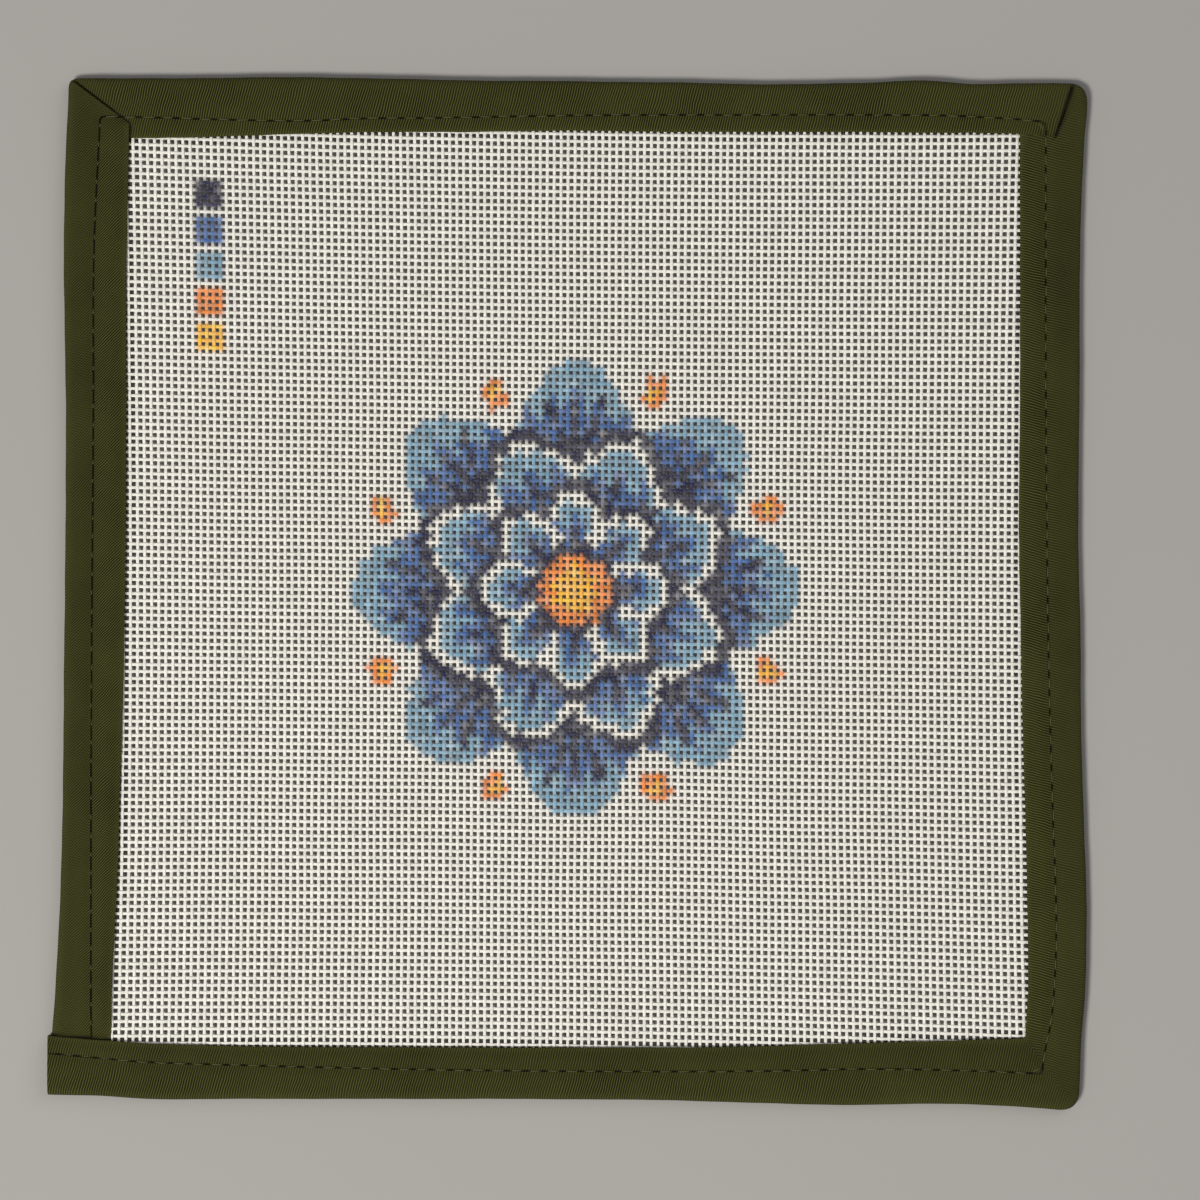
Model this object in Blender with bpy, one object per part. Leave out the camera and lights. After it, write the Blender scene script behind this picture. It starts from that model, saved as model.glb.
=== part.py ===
"""Needlepoint canvas panel: a flat square of canvas whose four edges are bound by one folded strip of tape.

Metres, +Z up. The panel lies on its back: the tape's lower face is at Z = 0 and the origin is under the
middle of the panel. The tape starts at the lower left, runs up the left edge and round three corners, and
ends at the lower left again, where its square cut end sticks out a little past the left edge.
"""

import math
from typing import NamedTuple

import bmesh
import bpy
from mathutils import Vector

MILLIMETRE = 0.001

# Thicknesses, in millimetres. The folded tape holds the canvas between its two legs.
CANVAS_THICKNESS = 1.0
LEG_THICKNESS = 1.0
CLEARANCE = 0.3
FOLD_THICKNESS = 1.0
HEIGHT = 2 * LEG_THICKNESS + CANVAS_THICKNESS + 2 * CLEARANCE
CANVAS_BOTTOM = LEG_THICKNESS + CLEARANCE
CANVAS_INSET = FOLD_THICKNESS + CLEARANCE

# How the folded tape's section is rounded, in millimetres
EDGE_ROUNDING = 0.3
INSIDE_ROUNDING = 0.4
FOLD_RADIUS = HEIGHT / 2
FOLD_FACETS = 6

# How finely the strip is divided
SECTIONS_PER_RUN = 20
SECTIONS_PER_CORNER = 5

CANVAS_COLOUR = (0.80, 0.76, 0.68, 1.0)
CANVAS_ROUGHNESS = 0.85
TAPE_COLOUR = (0.035, 0.040, 0.011, 1.0)
TAPE_ROUGHNESS = 0.7


class Row(NamedTuple):
    """One measured place on a run of tape, in millimetres from the middle of the panel."""

    along: float
    outer: float
    inner: float


class Run(NamedTuple):
    """One side's stretch of tape, which lies flat along an edge of the canvas."""

    heading: tuple[int, int]
    outward: tuple[int, int]
    rows: list[Row]


# along: the distance from the middle of the side, in the direction in which the tape was sewn on
# outer: how far out the folded edge lies
# inner: how far out the tape's free edge lies
LEFT = Run((0, 1), (-1, 0), [
    Row(-88.1, 103.55, 91.65),
    Row(-77.0, 102.75, 91.30),
    Row(-57.0, 101.75, 90.30),
    Row(-37.0, 101.35, 89.70),
    Row(-17.0, 101.15, 89.10),
    Row(3.0, 100.95, 88.70),
    Row(34.0, 100.75, 88.50),
    Row(64.0, 101.15, 88.50),
    Row(84.0, 100.95, 88.10),
    Row(103.6, 100.10, 87.70),
])
TOP = Run((1, 0), (0, 1), [
    Row(-100.1, 103.60, 91.40),
    Row(-80.0, 103.55, 91.50),
    Row(-60.0, 103.80, 92.10),
    Row(-39.0, 103.55, 92.65),
    Row(-19.0, 103.15, 92.70),
    Row(1.0, 102.95, 92.95),
    Row(21.0, 102.75, 92.70),
    Row(41.0, 102.35, 92.70),
    Row(61.0, 102.75, 92.70),
    Row(71.0, 103.15, 92.50),
    Row(81.0, 102.40, 92.50),
    Row(91.0, 102.60, 92.35),
    Row(104.1, 102.55, 92.20),
])
RIGHT = Run((0, -1), (1, 0), [
    Row(-102.5, 104.20, 90.70),
    Row(-98.0, 104.30, 90.70),
    Row(-90.0, 103.65, 90.70),
    Row(-72.0, 102.95, 90.70),
    Row(-42.0, 102.75, 90.70),
    Row(-11.0, 102.55, 90.50),
    Row(9.0, 102.95, 90.90),
    Row(29.0, 103.15, 91.30),
    Row(49.0, 103.75, 91.90),
    Row(64.0, 104.20, 92.20),
    Row(79.0, 103.95, 92.30),
    Row(89.0, 103.15, 91.80),
    Row(104.0, 102.60, 91.60),
])
BOTTOM = Run((-1, 0), (0, -1), [
    Row(-102.6, 104.00, 88.90),
    Row(-94.7, 103.20, 89.00),
    Row(-77.0, 102.35, 89.50),
    Row(-57.0, 102.55, 90.10),
    Row(-37.0, 102.15, 90.70),
    Row(-17.0, 101.55, 90.90),
    Row(23.0, 101.35, 90.90),
    Row(63.0, 101.35, 90.70),
    Row(83.5, 101.35, 90.10),
    Row(93.5, 100.75, 89.40),
    Row(104.3, 100.50, 88.50),
])
RUNS = [LEFT, TOP, RIGHT, BOTTOM]

# How far each corner is rounded, in millimetres: top left, top right, bottom right
OUTER_ROUNDING = [2.0, 3.0, 4.5]
INNER_ROUNDING = [0.6, 0.6, 0.8]
# The free edge of the left run starts this much lower than its fold, along the lap that covers its end.
LAP_SLANT = 0.9


class Section(NamedTuple):
    """One cross-section of the strip: where its fold and its free edge lie, and the slant between them."""

    fold: Vector
    edge: Vector
    across: Vector
    stretch: float


def smoothed(rows: list[Row], column: str, along: float) -> float:
    """Reads one column of a run's table at any place, on a smooth curve through its rows."""
    index = 0
    while index < len(rows) - 2 and along > rows[index + 1].along:
        index += 1
    last = len(rows) - 1
    before, start, end, after = (rows[min(max(index + step, 0), last)] for step in (-1, 0, 1, 2))
    span = end.along - start.along
    share = min(max((along - start.along) / span, 0.0), 1.0)
    value = {row: getattr(row, column) for row in (before, start, end, after)}
    slope_in = span * (value[end] - value[before]) / (end.along - before.along)
    slope_out = span * (value[after] - value[start]) / (after.along - start.along)
    square, cube = share**2, share**3
    return (
        (2 * cube - 3 * square + 1) * value[start]
        + (cube - 2 * square + share) * slope_in
        + (3 * square - 2 * cube) * value[end]
        + (cube - square) * slope_out
    )


def place(run: Run, column: str, along: float) -> Vector:
    """The point of a run's fold or free edge at this distance along it."""
    return along * Vector(run.heading) + smoothed(run.rows, column, along) * Vector(run.outward)


def crossing(first: Run, second: Run, column: str) -> Vector:
    """Where the folds, or the free edges, of two neighbouring runs meet."""
    along = first.rows[-1].along
    for _ in range(8):
        along_second = -smoothed(first.rows, column, along)
        along = smoothed(second.rows, column, along_second)
    return along * Vector(first.heading) + smoothed(first.rows, column, along) * Vector(first.outward)


def run_points(index: int, column: str, rounding: list[float]) -> list[Vector]:
    """Evenly spaced points along one run's fold or free edge, between the rounded corners."""
    run = RUNS[index]
    heading = Vector(run.heading)
    start, end = run.rows[0].along, run.rows[-1].along
    if index > 0:
        start = crossing(RUNS[index - 1], run, column).dot(heading) + rounding[index - 1]
    elif column == "inner":
        start -= LAP_SLANT
    if index < len(RUNS) - 1:
        end = crossing(run, RUNS[index + 1], column).dot(heading) - rounding[index]
    steps = SECTIONS_PER_RUN - 1
    return [place(run, column, start + (end - start) * step / steps) for step in range(steps + 1)]


def corner_points(start: Vector, corner: Vector, end: Vector) -> list[Vector]:
    """Points strictly between two ends, on a curve that rounds the corner between them."""
    shares = [step / (SECTIONS_PER_CORNER + 1) for step in range(1, SECTIONS_PER_CORNER + 1)]
    return [(1 - t) ** 2 * start + 2 * t * (1 - t) * corner + t**2 * end for t in shares]


def line_points(column: str, rounding: list[float]) -> list[Vector]:
    """The strip's fold or free edge from its first end to its last, round all three corners."""
    stretches = [run_points(index, column, rounding) for index in range(len(RUNS))]
    line = list(stretches[0])
    for index in range(1, len(RUNS)):
        corner = crossing(RUNS[index - 1], RUNS[index], column)
        line += corner_points(line[-1], corner, stretches[index][0])
        line += stretches[index]
    return line


def sections() -> list[Section]:
    """Every cross-section of the strip, in millimetres about the middle of its box."""
    folds = line_points("outer", OUTER_ROUNDING)
    edges = line_points("inner", INNER_ROUNDING)
    low = Vector((min(point.x for point in folds), min(point.y for point in folds)))
    high = Vector((max(point.x for point in folds), max(point.y for point in folds)))
    middle = (low + high) / 2
    made = []
    for index, (fold, edge) in enumerate(zip(folds, edges)):
        ahead = folds[min(index + 1, len(folds) - 1)] - folds[max(index - 1, 0)]
        inward = Vector((ahead.y, -ahead.x)).normalized()
        across = (edge - fold).normalized()
        made.append(Section(fold - middle, edge - middle, across, 1 / across.dot(inward)))
    return made


def tape_profile(section: Section) -> list[Vector]:
    """The closed outline of one cross-section: two legs and the fold that joins them."""

    def from_fold(distance: float, height: float) -> Vector:
        return (section.fold + section.across * distance * section.stretch).to_3d() + Vector((0, 0, height))

    def from_edge(distance: float, height: float) -> Vector:
        return (section.edge - section.across * distance).to_3d() + Vector((0, 0, height))

    def leg_end(bottom: float) -> list[Vector]:
        top = bottom + LEG_THICKNESS
        return [
            from_edge(EDGE_ROUNDING, bottom),
            from_edge(0, bottom + EDGE_ROUNDING),
            from_edge(0, top - EDGE_ROUNDING),
            from_edge(EDGE_ROUNDING, top),
        ]

    upper_leg = HEIGHT - LEG_THICKNESS
    inside = [
        from_fold(FOLD_THICKNESS + INSIDE_ROUNDING, LEG_THICKNESS),
        from_fold(FOLD_THICKNESS, LEG_THICKNESS + INSIDE_ROUNDING),
        from_fold(FOLD_THICKNESS, upper_leg - INSIDE_ROUNDING),
        from_fold(FOLD_THICKNESS + INSIDE_ROUNDING, upper_leg),
    ]
    turns = [math.pi * step / FOLD_FACETS for step in range(FOLD_FACETS + 1)]
    outside = [
        from_fold(FOLD_RADIUS * (1 - math.sin(turn)), FOLD_RADIUS * (1 + math.cos(turn))) for turn in turns
    ]
    return leg_end(0) + inside + leg_end(upper_leg) + outside


def material(name: str, colour: tuple[float, ...], roughness: float) -> bpy.types.Material:
    """A plain cloth material of one colour."""
    made = bpy.data.materials.new(name)
    made.use_nodes = True
    shader = made.node_tree.nodes["Principled BSDF"]
    shader.inputs["Base Color"].default_value = colour
    shader.inputs["Roughness"].default_value = roughness
    shader.inputs["Metallic"].default_value = 0.0
    made.diffuse_color = colour
    return made


def add_object(name: str, shape: bmesh.types.BMesh, finish: bpy.types.Material) -> bpy.types.Object:
    """Turns a finished shape, in millimetres, into an object of the scene in metres."""
    bmesh.ops.scale(shape, vec=(MILLIMETRE,) * 3, verts=shape.verts)
    bmesh.ops.recalc_face_normals(shape, faces=shape.faces)
    mesh = bpy.data.meshes.new(name)
    shape.to_mesh(mesh)
    shape.free()
    mesh.materials.append(finish)
    made = bpy.data.objects.new(name, mesh)
    bpy.context.scene.collection.objects.link(made)
    return made


def build_binding(strip: list[Section]) -> bpy.types.Object:
    """The folded tape: one closed body, swept through its cross-sections."""
    shape = bmesh.new()
    rings = [[shape.verts.new(point) for point in tape_profile(section)] for section in strip]
    for near, far in zip(rings, rings[1:]):
        for index in range(len(near)):
            following = (index + 1) % len(near)
            shape.faces.new((near[index], near[following], far[following], far[index]))
    ends = [shape.faces.new(rings[0]), shape.faces.new(reversed(rings[-1]))]
    shape.normal_update()
    bmesh.ops.triangulate(shape, faces=ends)
    return add_object("binding", shape, material("olive tape", TAPE_COLOUR, TAPE_ROUGHNESS))


def build_canvas(strip: list[Section]) -> bpy.types.Object:
    """The canvas: a flat sheet cut to the panel's outline, a little inside the fold of the tape."""
    inset = [section.fold + section.across * CANVAS_INSET * section.stretch for section in strip]
    start, end = inset[0], inset[-1]
    # The tape's last end sticks out past the canvas, whose own corner lies inside it.
    outline = [point for point in inset if point.x > start.x + CANVAS_INSET or point.y > start.y - CANVAS_INSET]
    outline.append(Vector((start.x, end.y)))
    shape = bmesh.new()
    sheet = shape.faces.new([shape.verts.new((point.x, point.y, CANVAS_BOTTOM)) for point in outline])
    raised = bmesh.ops.extrude_face_region(shape, geom=[sheet])
    corners = [item for item in raised["geom"] if isinstance(item, bmesh.types.BMVert)]
    bmesh.ops.translate(shape, verts=corners, vec=(0, 0, CANVAS_THICKNESS))
    shape.normal_update()
    bmesh.ops.triangulate(shape, faces=[face for face in shape.faces if len(face.verts) > 4])
    return add_object("canvas", shape, material("ivory canvas", CANVAS_COLOUR, CANVAS_ROUGHNESS))


def main() -> None:
    """Clears the scene and builds the panel."""
    for item in list(bpy.data.objects):
        bpy.data.objects.remove(item, do_unlink=True)
    strip = sections()
    build_binding(strip)
    build_canvas(strip)


main()
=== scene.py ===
"""Looks of the needlepoint canvas panel: woven canvas with a painted medallion, a folded bias-cut binding,
its machine stitching and a plain studio. The scene is in metres, +Z up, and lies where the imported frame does.
Tables and sizes are in millimetres unless they say otherwise."""

import logging
import math
from dataclasses import dataclass
from enum import Enum
from typing import NamedTuple

import bpy
import numpy as np
from mathutils.kdtree import KDTree
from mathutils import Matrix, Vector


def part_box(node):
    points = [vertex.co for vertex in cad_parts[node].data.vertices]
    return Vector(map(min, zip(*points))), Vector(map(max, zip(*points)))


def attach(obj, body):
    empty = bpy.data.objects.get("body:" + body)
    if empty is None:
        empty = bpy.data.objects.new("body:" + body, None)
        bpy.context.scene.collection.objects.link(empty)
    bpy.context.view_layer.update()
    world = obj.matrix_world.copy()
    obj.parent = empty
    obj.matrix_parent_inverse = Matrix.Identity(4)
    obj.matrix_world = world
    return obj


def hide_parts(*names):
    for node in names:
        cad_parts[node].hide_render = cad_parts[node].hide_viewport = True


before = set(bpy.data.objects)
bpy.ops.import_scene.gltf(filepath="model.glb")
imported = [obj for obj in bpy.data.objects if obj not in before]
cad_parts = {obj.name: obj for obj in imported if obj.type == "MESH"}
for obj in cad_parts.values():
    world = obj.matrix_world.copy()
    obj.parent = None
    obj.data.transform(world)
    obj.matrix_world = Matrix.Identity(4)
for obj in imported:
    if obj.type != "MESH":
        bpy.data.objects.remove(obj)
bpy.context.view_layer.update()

LOG = logging.getLogger("needlepoint_panel")
MM = 0.001
ROOT_BODY = "root"
SEAM_STEP = 0.25
SETTLING_ROUNDS = 8
Colour = tuple[float, float, float]
Feed = bpy.types.NodeSocket | float | tuple[float, ...]


# --------------------------------------------------------------------------------------------------
# Mesh and node helpers
# --------------------------------------------------------------------------------------------------


def smooth_step(low: float, high: float, at: np.ndarray) -> np.ndarray:
    """Eases from 0 at low to 1 at high."""
    share = np.clip((np.asarray(at, float) - low) / (high - low), 0.0, 1.0)
    return share * share * (3.0 - 2.0 * share)


def smooth_curve(knots: np.ndarray, values: np.ndarray, at: np.ndarray) -> np.ndarray:
    """Reads a table on a smooth curve through its rows.

    Args:
        knots: The rows' places, rising.
        values: The rows' values.
        at: The places to read, held at the ends of the table.

    Returns:
        The value at each place.
    """
    knots, values, at = (np.asarray(item, float) for item in (knots, values, at))
    slopes = np.empty_like(values)
    slopes[1:-1] = (values[2:] - values[:-2]) / (knots[2:] - knots[:-2])
    slopes[[0, -1]] = (values[[1, -1]] - values[[0, -2]]) / (knots[[1, -1]] - knots[[0, -2]])
    index = np.clip(np.searchsorted(knots, at) - 1, 0, len(knots) - 2)
    span = knots[index + 1] - knots[index]
    share = np.clip((at - knots[index]) / span, 0.0, 1.0)
    square, cube = share**2, share**3
    return (
        (2 * cube - 3 * square + 1) * values[index]
        + (cube - 2 * square + share) * span * slopes[index]
        + (3 * square - 2 * cube) * values[index + 1]
        + (cube - square) * span * slopes[index + 1]
    )


def wander(seed: int, at: np.ndarray, wavelengths: tuple[float, ...]) -> np.ndarray:
    """A smooth random line that stays within about -1 to 1.

    Args:
        seed: Picks the line.
        at: Where along the line to read it.
        wavelengths: The lengths of its waves, in the same unit as at.

    Returns:
        The line's value at each place.
    """
    draw = np.random.default_rng(seed)
    total = np.zeros_like(np.asarray(at, float))
    for wavelength in wavelengths:
        stretch = wavelength * draw.uniform(0.85, 1.2)
        total += draw.uniform(0.6, 1.0) * np.sin(2 * math.pi * (at / stretch + draw.uniform()))
    return total / len(wavelengths)


class Shape(NamedTuple):
    """A closed tube, or many of them, as arrays in millimetres.

    Its faces are rows of four corners, with caps on the ends. uv and bake hold two numbers for every face
    corner: how far along its tube and round it the corner lies, and its place on the flattened piece.
    """

    points: np.ndarray
    quads: np.ndarray
    caps: list[np.ndarray]
    uv: np.ndarray
    bake: np.ndarray | None = None


class Thread(NamedTuple):
    """One thread of the canvas, and the colour and cover of each of its points."""

    shape: Shape
    colour: np.ndarray


def swept(rings: np.ndarray, travelled: np.ndarray) -> Shape:
    """Joins equal rings of points into one closed tube.

    Args:
        rings: Points as rings x corners x 3, each ring turning to the right as seen from the tube's start.
        travelled: How far along the tube each ring lies.

    Returns:
        The tube, with a flat cap on each end.
    """
    count, corners = rings.shape[:2]
    start = (np.arange(count - 1) * corners)[:, None]
    near = start + np.arange(corners)[None, :]
    following = start + (np.arange(corners)[None, :] + 1) % corners
    quads = np.stack([near, following, following + corners, near + corners], axis=-1).reshape(-1, 4)
    caps = [np.arange(corners)[::-1], (count - 1) * corners + np.arange(corners)]
    turn = np.arange(corners) / corners
    ahead = turn + 1.0 / corners
    around = np.tile(np.stack([turn, ahead, ahead, turn], axis=-1), (count - 1, 1, 1))
    ends = np.stack([travelled[:-1], travelled[:-1], travelled[1:], travelled[1:]], axis=-1)
    along = np.repeat(ends[:, None, :], corners, axis=1)
    sides = np.stack([along.reshape(-1), around.reshape(-1)], axis=-1)
    cap_turns = ((0, turn[::-1]), (-1, turn))
    cap_uv = [np.stack([np.full(corners, travelled[end]), share], axis=-1) for end, share in cap_turns]
    return Shape(rings.reshape(-1, 3), quads, caps, np.concatenate([sides, *cap_uv]))


def joined(shapes: list[Shape], columns: int = 1, inset: float = 0.02) -> Shape:
    """Puts many tubes into one mesh.

    Args:
        shapes: The tubes, in order.
        columns: How many lie end to end across the flattened piece.
        inset: How far each lies inside its own strip there, as a share of the strip.

    Returns:
        One shape that holds them all, with each tube's own strip on the flattened piece.
    """
    longest = max(shape.uv[:, 0].max() for shape in shapes)
    rows = math.ceil(len(shapes) / columns)
    points, quads, caps, side_uv, cap_uv, side_bake, cap_bake = ([] for _ in range(7))
    base = 0
    for number, shape in enumerate(shapes):
        corner = np.array([number % columns, number // columns])
        bake = (corner + inset + (1.0 - 2 * inset) * shape.uv / (longest, 1.0)) / (columns, rows)
        sides = shape.quads.size
        points.append(shape.points)
        quads.append(shape.quads + base)
        caps += [cap + base for cap in shape.caps]
        side_uv.append(shape.uv[:sides])
        cap_uv.append(shape.uv[sides:])
        side_bake.append(bake[:sides])
        cap_bake.append(bake[sides:])
        base += len(shape.points)
    uv, flattened = np.concatenate(side_uv + cap_uv), np.concatenate(side_bake + cap_bake)
    return Shape(np.concatenate(points), np.concatenate(quads), caps, uv, flattened)


def line_distance(points: np.ndarray, line: np.ndarray) -> np.ndarray:
    """How far points lie from a line of straight pieces."""
    distance = np.full(points.shape[:-1], np.inf)
    for start, end in zip(line[:-1], line[1:]):
        span = end - start
        share = np.clip((points - start) @ span / (span @ span), 0.0, 1.0)
        distance = np.minimum(distance, np.linalg.norm(points - start - share[..., None] * span, axis=-1))
    return distance


def add_uv(piece: bpy.types.Object, name: str, values: np.ndarray) -> None:
    """Gives a piece a UV map.

    Args:
        piece: The piece.
        name: The map's name.
        values: Two numbers for each face corner.
    """
    layer = piece.data.uv_layers.new(name=name)
    layer.uv.foreach_set("vector", values.astype(np.float32).reshape(-1))


def mesh_piece(name: str, shape: Shape, finish: bpy.types.Material, sharp: float = 80.0) -> bpy.types.Object:
    """Makes a piece of the scene out of a shape.

    Args:
        name: The piece's name.
        shape: Its mesh, in millimetres.
        finish: Its material.
        sharp: The angle in degrees past which an edge stays crisp.

    Returns:
        The new object, at the origin.
    """
    mesh = bpy.data.meshes.new(name)
    corners = np.concatenate([shape.quads.reshape(-1), *shape.caps]).astype(np.int32)
    totals = np.array([4] * len(shape.quads) + [len(cap) for cap in shape.caps], np.int32)
    mesh.vertices.add(len(shape.points))
    mesh.vertices.foreach_set("co", (shape.points * MM).astype(np.float32).reshape(-1))
    mesh.loops.add(len(corners))
    mesh.loops.foreach_set("vertex_index", corners)
    mesh.polygons.add(len(totals))
    mesh.polygons.foreach_set("loop_start", np.concatenate([[0], np.cumsum(totals)[:-1]]).astype(np.int32))
    mesh.update(calc_edges=True)
    mesh.shade_smooth()
    mesh.set_sharp_from_angle(angle=math.radians(sharp))
    mesh.materials.append(finish)
    made = bpy.data.objects.new(name, mesh)
    bpy.context.scene.collection.objects.link(made)
    if shape.bake is not None:
        add_uv(made, "Thread", shape.uv)
        add_uv(made, "OFBake", shape.bake)
    return made


def add_point_value(piece: bpy.types.Object, name: str, values: np.ndarray) -> None:
    """Gives each point of a piece one number, or a colour with its strength.

    Args:
        piece: The piece.
        name: The attribute's name.
        values: One number, or four, for each point.
    """
    if values.ndim == 1:
        layer = piece.data.attributes.new(name, "FLOAT", "POINT")
        layer.data.foreach_set("value", values.astype(np.float32))
    else:
        layer = piece.data.color_attributes.new(name, "FLOAT_COLOR", "POINT")
        layer.data.foreach_set("color", values.astype(np.float32).reshape(-1))


def dress(piece: bpy.types.Object) -> None:
    """Lets a finished piece move with the panel."""
    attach(piece, ROOT_BODY)


class Nodes:
    """A short way to write a material's nodes."""

    def __init__(self, name: str) -> None:
        """Starts an empty material that holds one shader."""
        self.material = bpy.data.materials.new(name)
        self.material.use_nodes = True
        self.tree = self.material.node_tree
        self.shader = self.tree.nodes["Principled BSDF"]

    def add(self, kind: str, links: dict | None = None, **settings: object) -> bpy.types.Node:
        """Adds a node.

        Args:
            kind: The node's type, without its ShaderNode prefix.
            links: What each input takes: a socket, or a plain value.
            **settings: The node's own settings.

        Returns:
            The new node.
        """
        node = self.tree.nodes.new("ShaderNode" + kind)
        for key, value in settings.items():
            setattr(node, key, value)
        for key, value in (links or {}).items():
            self.feed(node.inputs[key], value)
        return node

    def feed(self, socket: bpy.types.NodeSocket, value: Feed) -> None:
        """Links a socket into an input, or sets the input to a plain value."""
        if isinstance(value, bpy.types.NodeSocket):
            self.tree.links.new(value, socket)
        else:
            socket.default_value = value

    def maths(self, operation: str, *values: Feed, clamp: bool = False) -> bpy.types.NodeSocket:
        """The result of one Math node."""
        node = self.add("Math", dict(enumerate(values)), operation=operation, use_clamp=clamp)
        return node.outputs[0]

    def mix(self, share: Feed, first: Feed, second: Feed, blend: str = "MIX") -> bpy.types.NodeSocket:
        """Mixes two colours.

        Args:
            share: How much of the second, a socket or a number.
            first: A colour or a socket.
            second: A colour or a socket.
            blend: How they are mixed.

        Returns:
            The mixed colour.
        """
        node = self.add("Mix", {0: share}, data_type="RGBA", blend_type=blend)
        colour_a, colour_b, result = 6, 7, 2
        for index, value in ((colour_a, first), (colour_b, second)):
            self.feed(node.inputs[index], value if isinstance(value, bpy.types.NodeSocket) else (*value, 1.0))
        return node.outputs[result]

    def remap(self, value: Feed, low: float, high: float, first: float, last: float) -> bpy.types.NodeSocket:
        """Moves a value from the range low to high to the range first to last, and holds it there."""
        links = {"Value": value, "From Min": low, "From Max": high, "To Min": first, "To Max": last}
        return self.add("MapRange", links).outputs["Result"]

    def noise(self, vector: Feed, scale: float, detail: float, roughness: float) -> bpy.types.NodeSocket:
        """The value of a noise texture."""
        links = {"Vector": vector, "Scale": scale, "Detail": detail, "Roughness": roughness}
        return self.add("TexNoise", links).outputs["Fac"]

    def bump(self, height: Feed, distance: float, normal: Feed | None = None) -> bpy.types.NodeSocket:
        """A bumped normal, over another one if that is given."""
        links = {"Height": height, "Distance": distance, "Strength": 1.0}
        if normal is not None:
            links["Normal"] = normal
        return self.add("Bump", links).outputs["Normal"]

    def twist(self, place: Feed, pitch: float) -> bpy.types.NodeSocket:
        """The ridges of a two-ply yarn on a tube's own map, from 0 to 1."""
        row = (2 * math.pi / pitch, 4 * math.pi, 0.0)
        phase = self.add("VectorMath", {0: place, 1: row}, operation="DOT_PRODUCT").outputs["Value"]
        return self.maths("MULTIPLY_ADD", self.maths("SINE", phase), 0.5, 0.5)

    def reading(self, attribute: str) -> bpy.types.NodeSocket:
        """A number that the piece's points carry."""
        return self.add("Attribute", attribute_name=attribute).outputs["Fac"]

    def finish(self, **inputs: Feed) -> bpy.types.Material:
        """Feeds the shader's inputs, named with underscores for spaces, and gives back the material."""
        for key, value in inputs.items():
            self.feed(self.shader.inputs[key.replace("_", " ")], value)
        return self.material


# --------------------------------------------------------------------------------------------------
# Where the tape lies
# --------------------------------------------------------------------------------------------------


class Row(NamedTuple):
    """One place on a run of tape, in millimetres from the middle of the panel."""

    along: float
    outer: float
    inner: float


class Stop(NamedTuple):
    """One place on a run's stitch line: how far along it is, and how far out."""

    along: float
    out: float


@dataclass(frozen=True)
class Run:
    """One side's stretch of tape.

    sunk is the share of each stitch that is drawn down out of sight. ribbed is the share of the steeper family
    of ribs and clear is how strongly the ribs' painted highlight and shade show, each near the fold and near
    the free edge; both differ from run to run to stand in for how the light falls on each run's twill.
    """

    heading: tuple[int, int]
    outward: tuple[int, int]
    sunk: float
    ribbed: tuple[float, float]
    clear: tuple[float, float]
    rows: tuple[Row, ...]
    stitching: tuple[Stop, ...]

    def outer(self, along: np.ndarray) -> np.ndarray:
        """How far out the fold lies."""
        return smooth_curve([row.along for row in self.rows], [row.outer for row in self.rows], along)

    def inner(self, along: np.ndarray) -> np.ndarray:
        """How far out the free edge lies."""
        return smooth_curve([row.along for row in self.rows], [row.inner for row in self.rows], along)

    def stitched(self, along: np.ndarray) -> np.ndarray:
        """How far out the stitch line lies."""
        stops = self.stitching
        return smooth_curve([stop.along for stop in stops], [stop.out for stop in stops], along)

    def place(self, along: np.ndarray, out: np.ndarray) -> np.ndarray:
        """Turns distances along and out into X and Y."""
        return along[..., None] * np.array(self.heading) + out[..., None] * np.array(self.outward)


LEFT = Run(
    heading=(0, 1),
    outward=(-1, 0),
    sunk=0.84,
    ribbed=(0.25, 0.05),
    clear=(0.55, 1.0),
    rows=(
        Row(-88.1, 103.55, 91.65),
        Row(-77.0, 102.75, 91.30),
        Row(-57.0, 101.75, 90.30),
        Row(-37.0, 101.35, 89.70),
        Row(-17.0, 101.15, 89.10),
        Row(3.0, 100.95, 88.70),
        Row(34.0, 100.75, 88.50),
        Row(64.0, 101.15, 88.50),
        Row(84.0, 100.95, 88.10),
        Row(103.6, 100.10, 87.70),
    ),
    stitching=(
        Stop(-89.0, 95.6),
        Stop(-20.0, 95.5),
        Stop(40.0, 95.1),
        Stop(62.0, 95.1),
        Stop(74.0, 94.8),
        Stop(96.0, 93.7),
    ),
)
TOP = Run(
    heading=(1, 0),
    outward=(0, 1),
    sunk=0.34,
    ribbed=(1.0, 1.0),
    clear=(1.0, 1.0),
    rows=(
        Row(-100.1, 103.60, 91.40),
        Row(-80.0, 103.55, 91.50),
        Row(-60.0, 103.80, 92.10),
        Row(-39.0, 103.55, 92.65),
        Row(-19.0, 103.15, 92.70),
        Row(1.0, 102.95, 92.95),
        Row(21.0, 102.75, 92.70),
        Row(41.0, 102.35, 92.70),
        Row(61.0, 102.75, 92.70),
        Row(71.0, 103.15, 92.50),
        Row(81.0, 102.40, 92.50),
        Row(91.0, 102.60, 92.35),
        Row(104.1, 102.55, 92.20),
    ),
    stitching=(
        Stop(-94.0, 95.8),
        Stop(-84.7, 95.6),
        Stop(-69.4, 95.2),
        Stop(-54.4, 94.9),
        Stop(-40.0, 95.4),
        Stop(-28.0, 95.5),
        Stop(2.0, 96.0),
        Stop(36.0, 96.1),
        Stop(74.0, 96.0),
        Stop(88.0, 95.4),
        Stop(96.0, 94.7),
    ),
)
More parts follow.
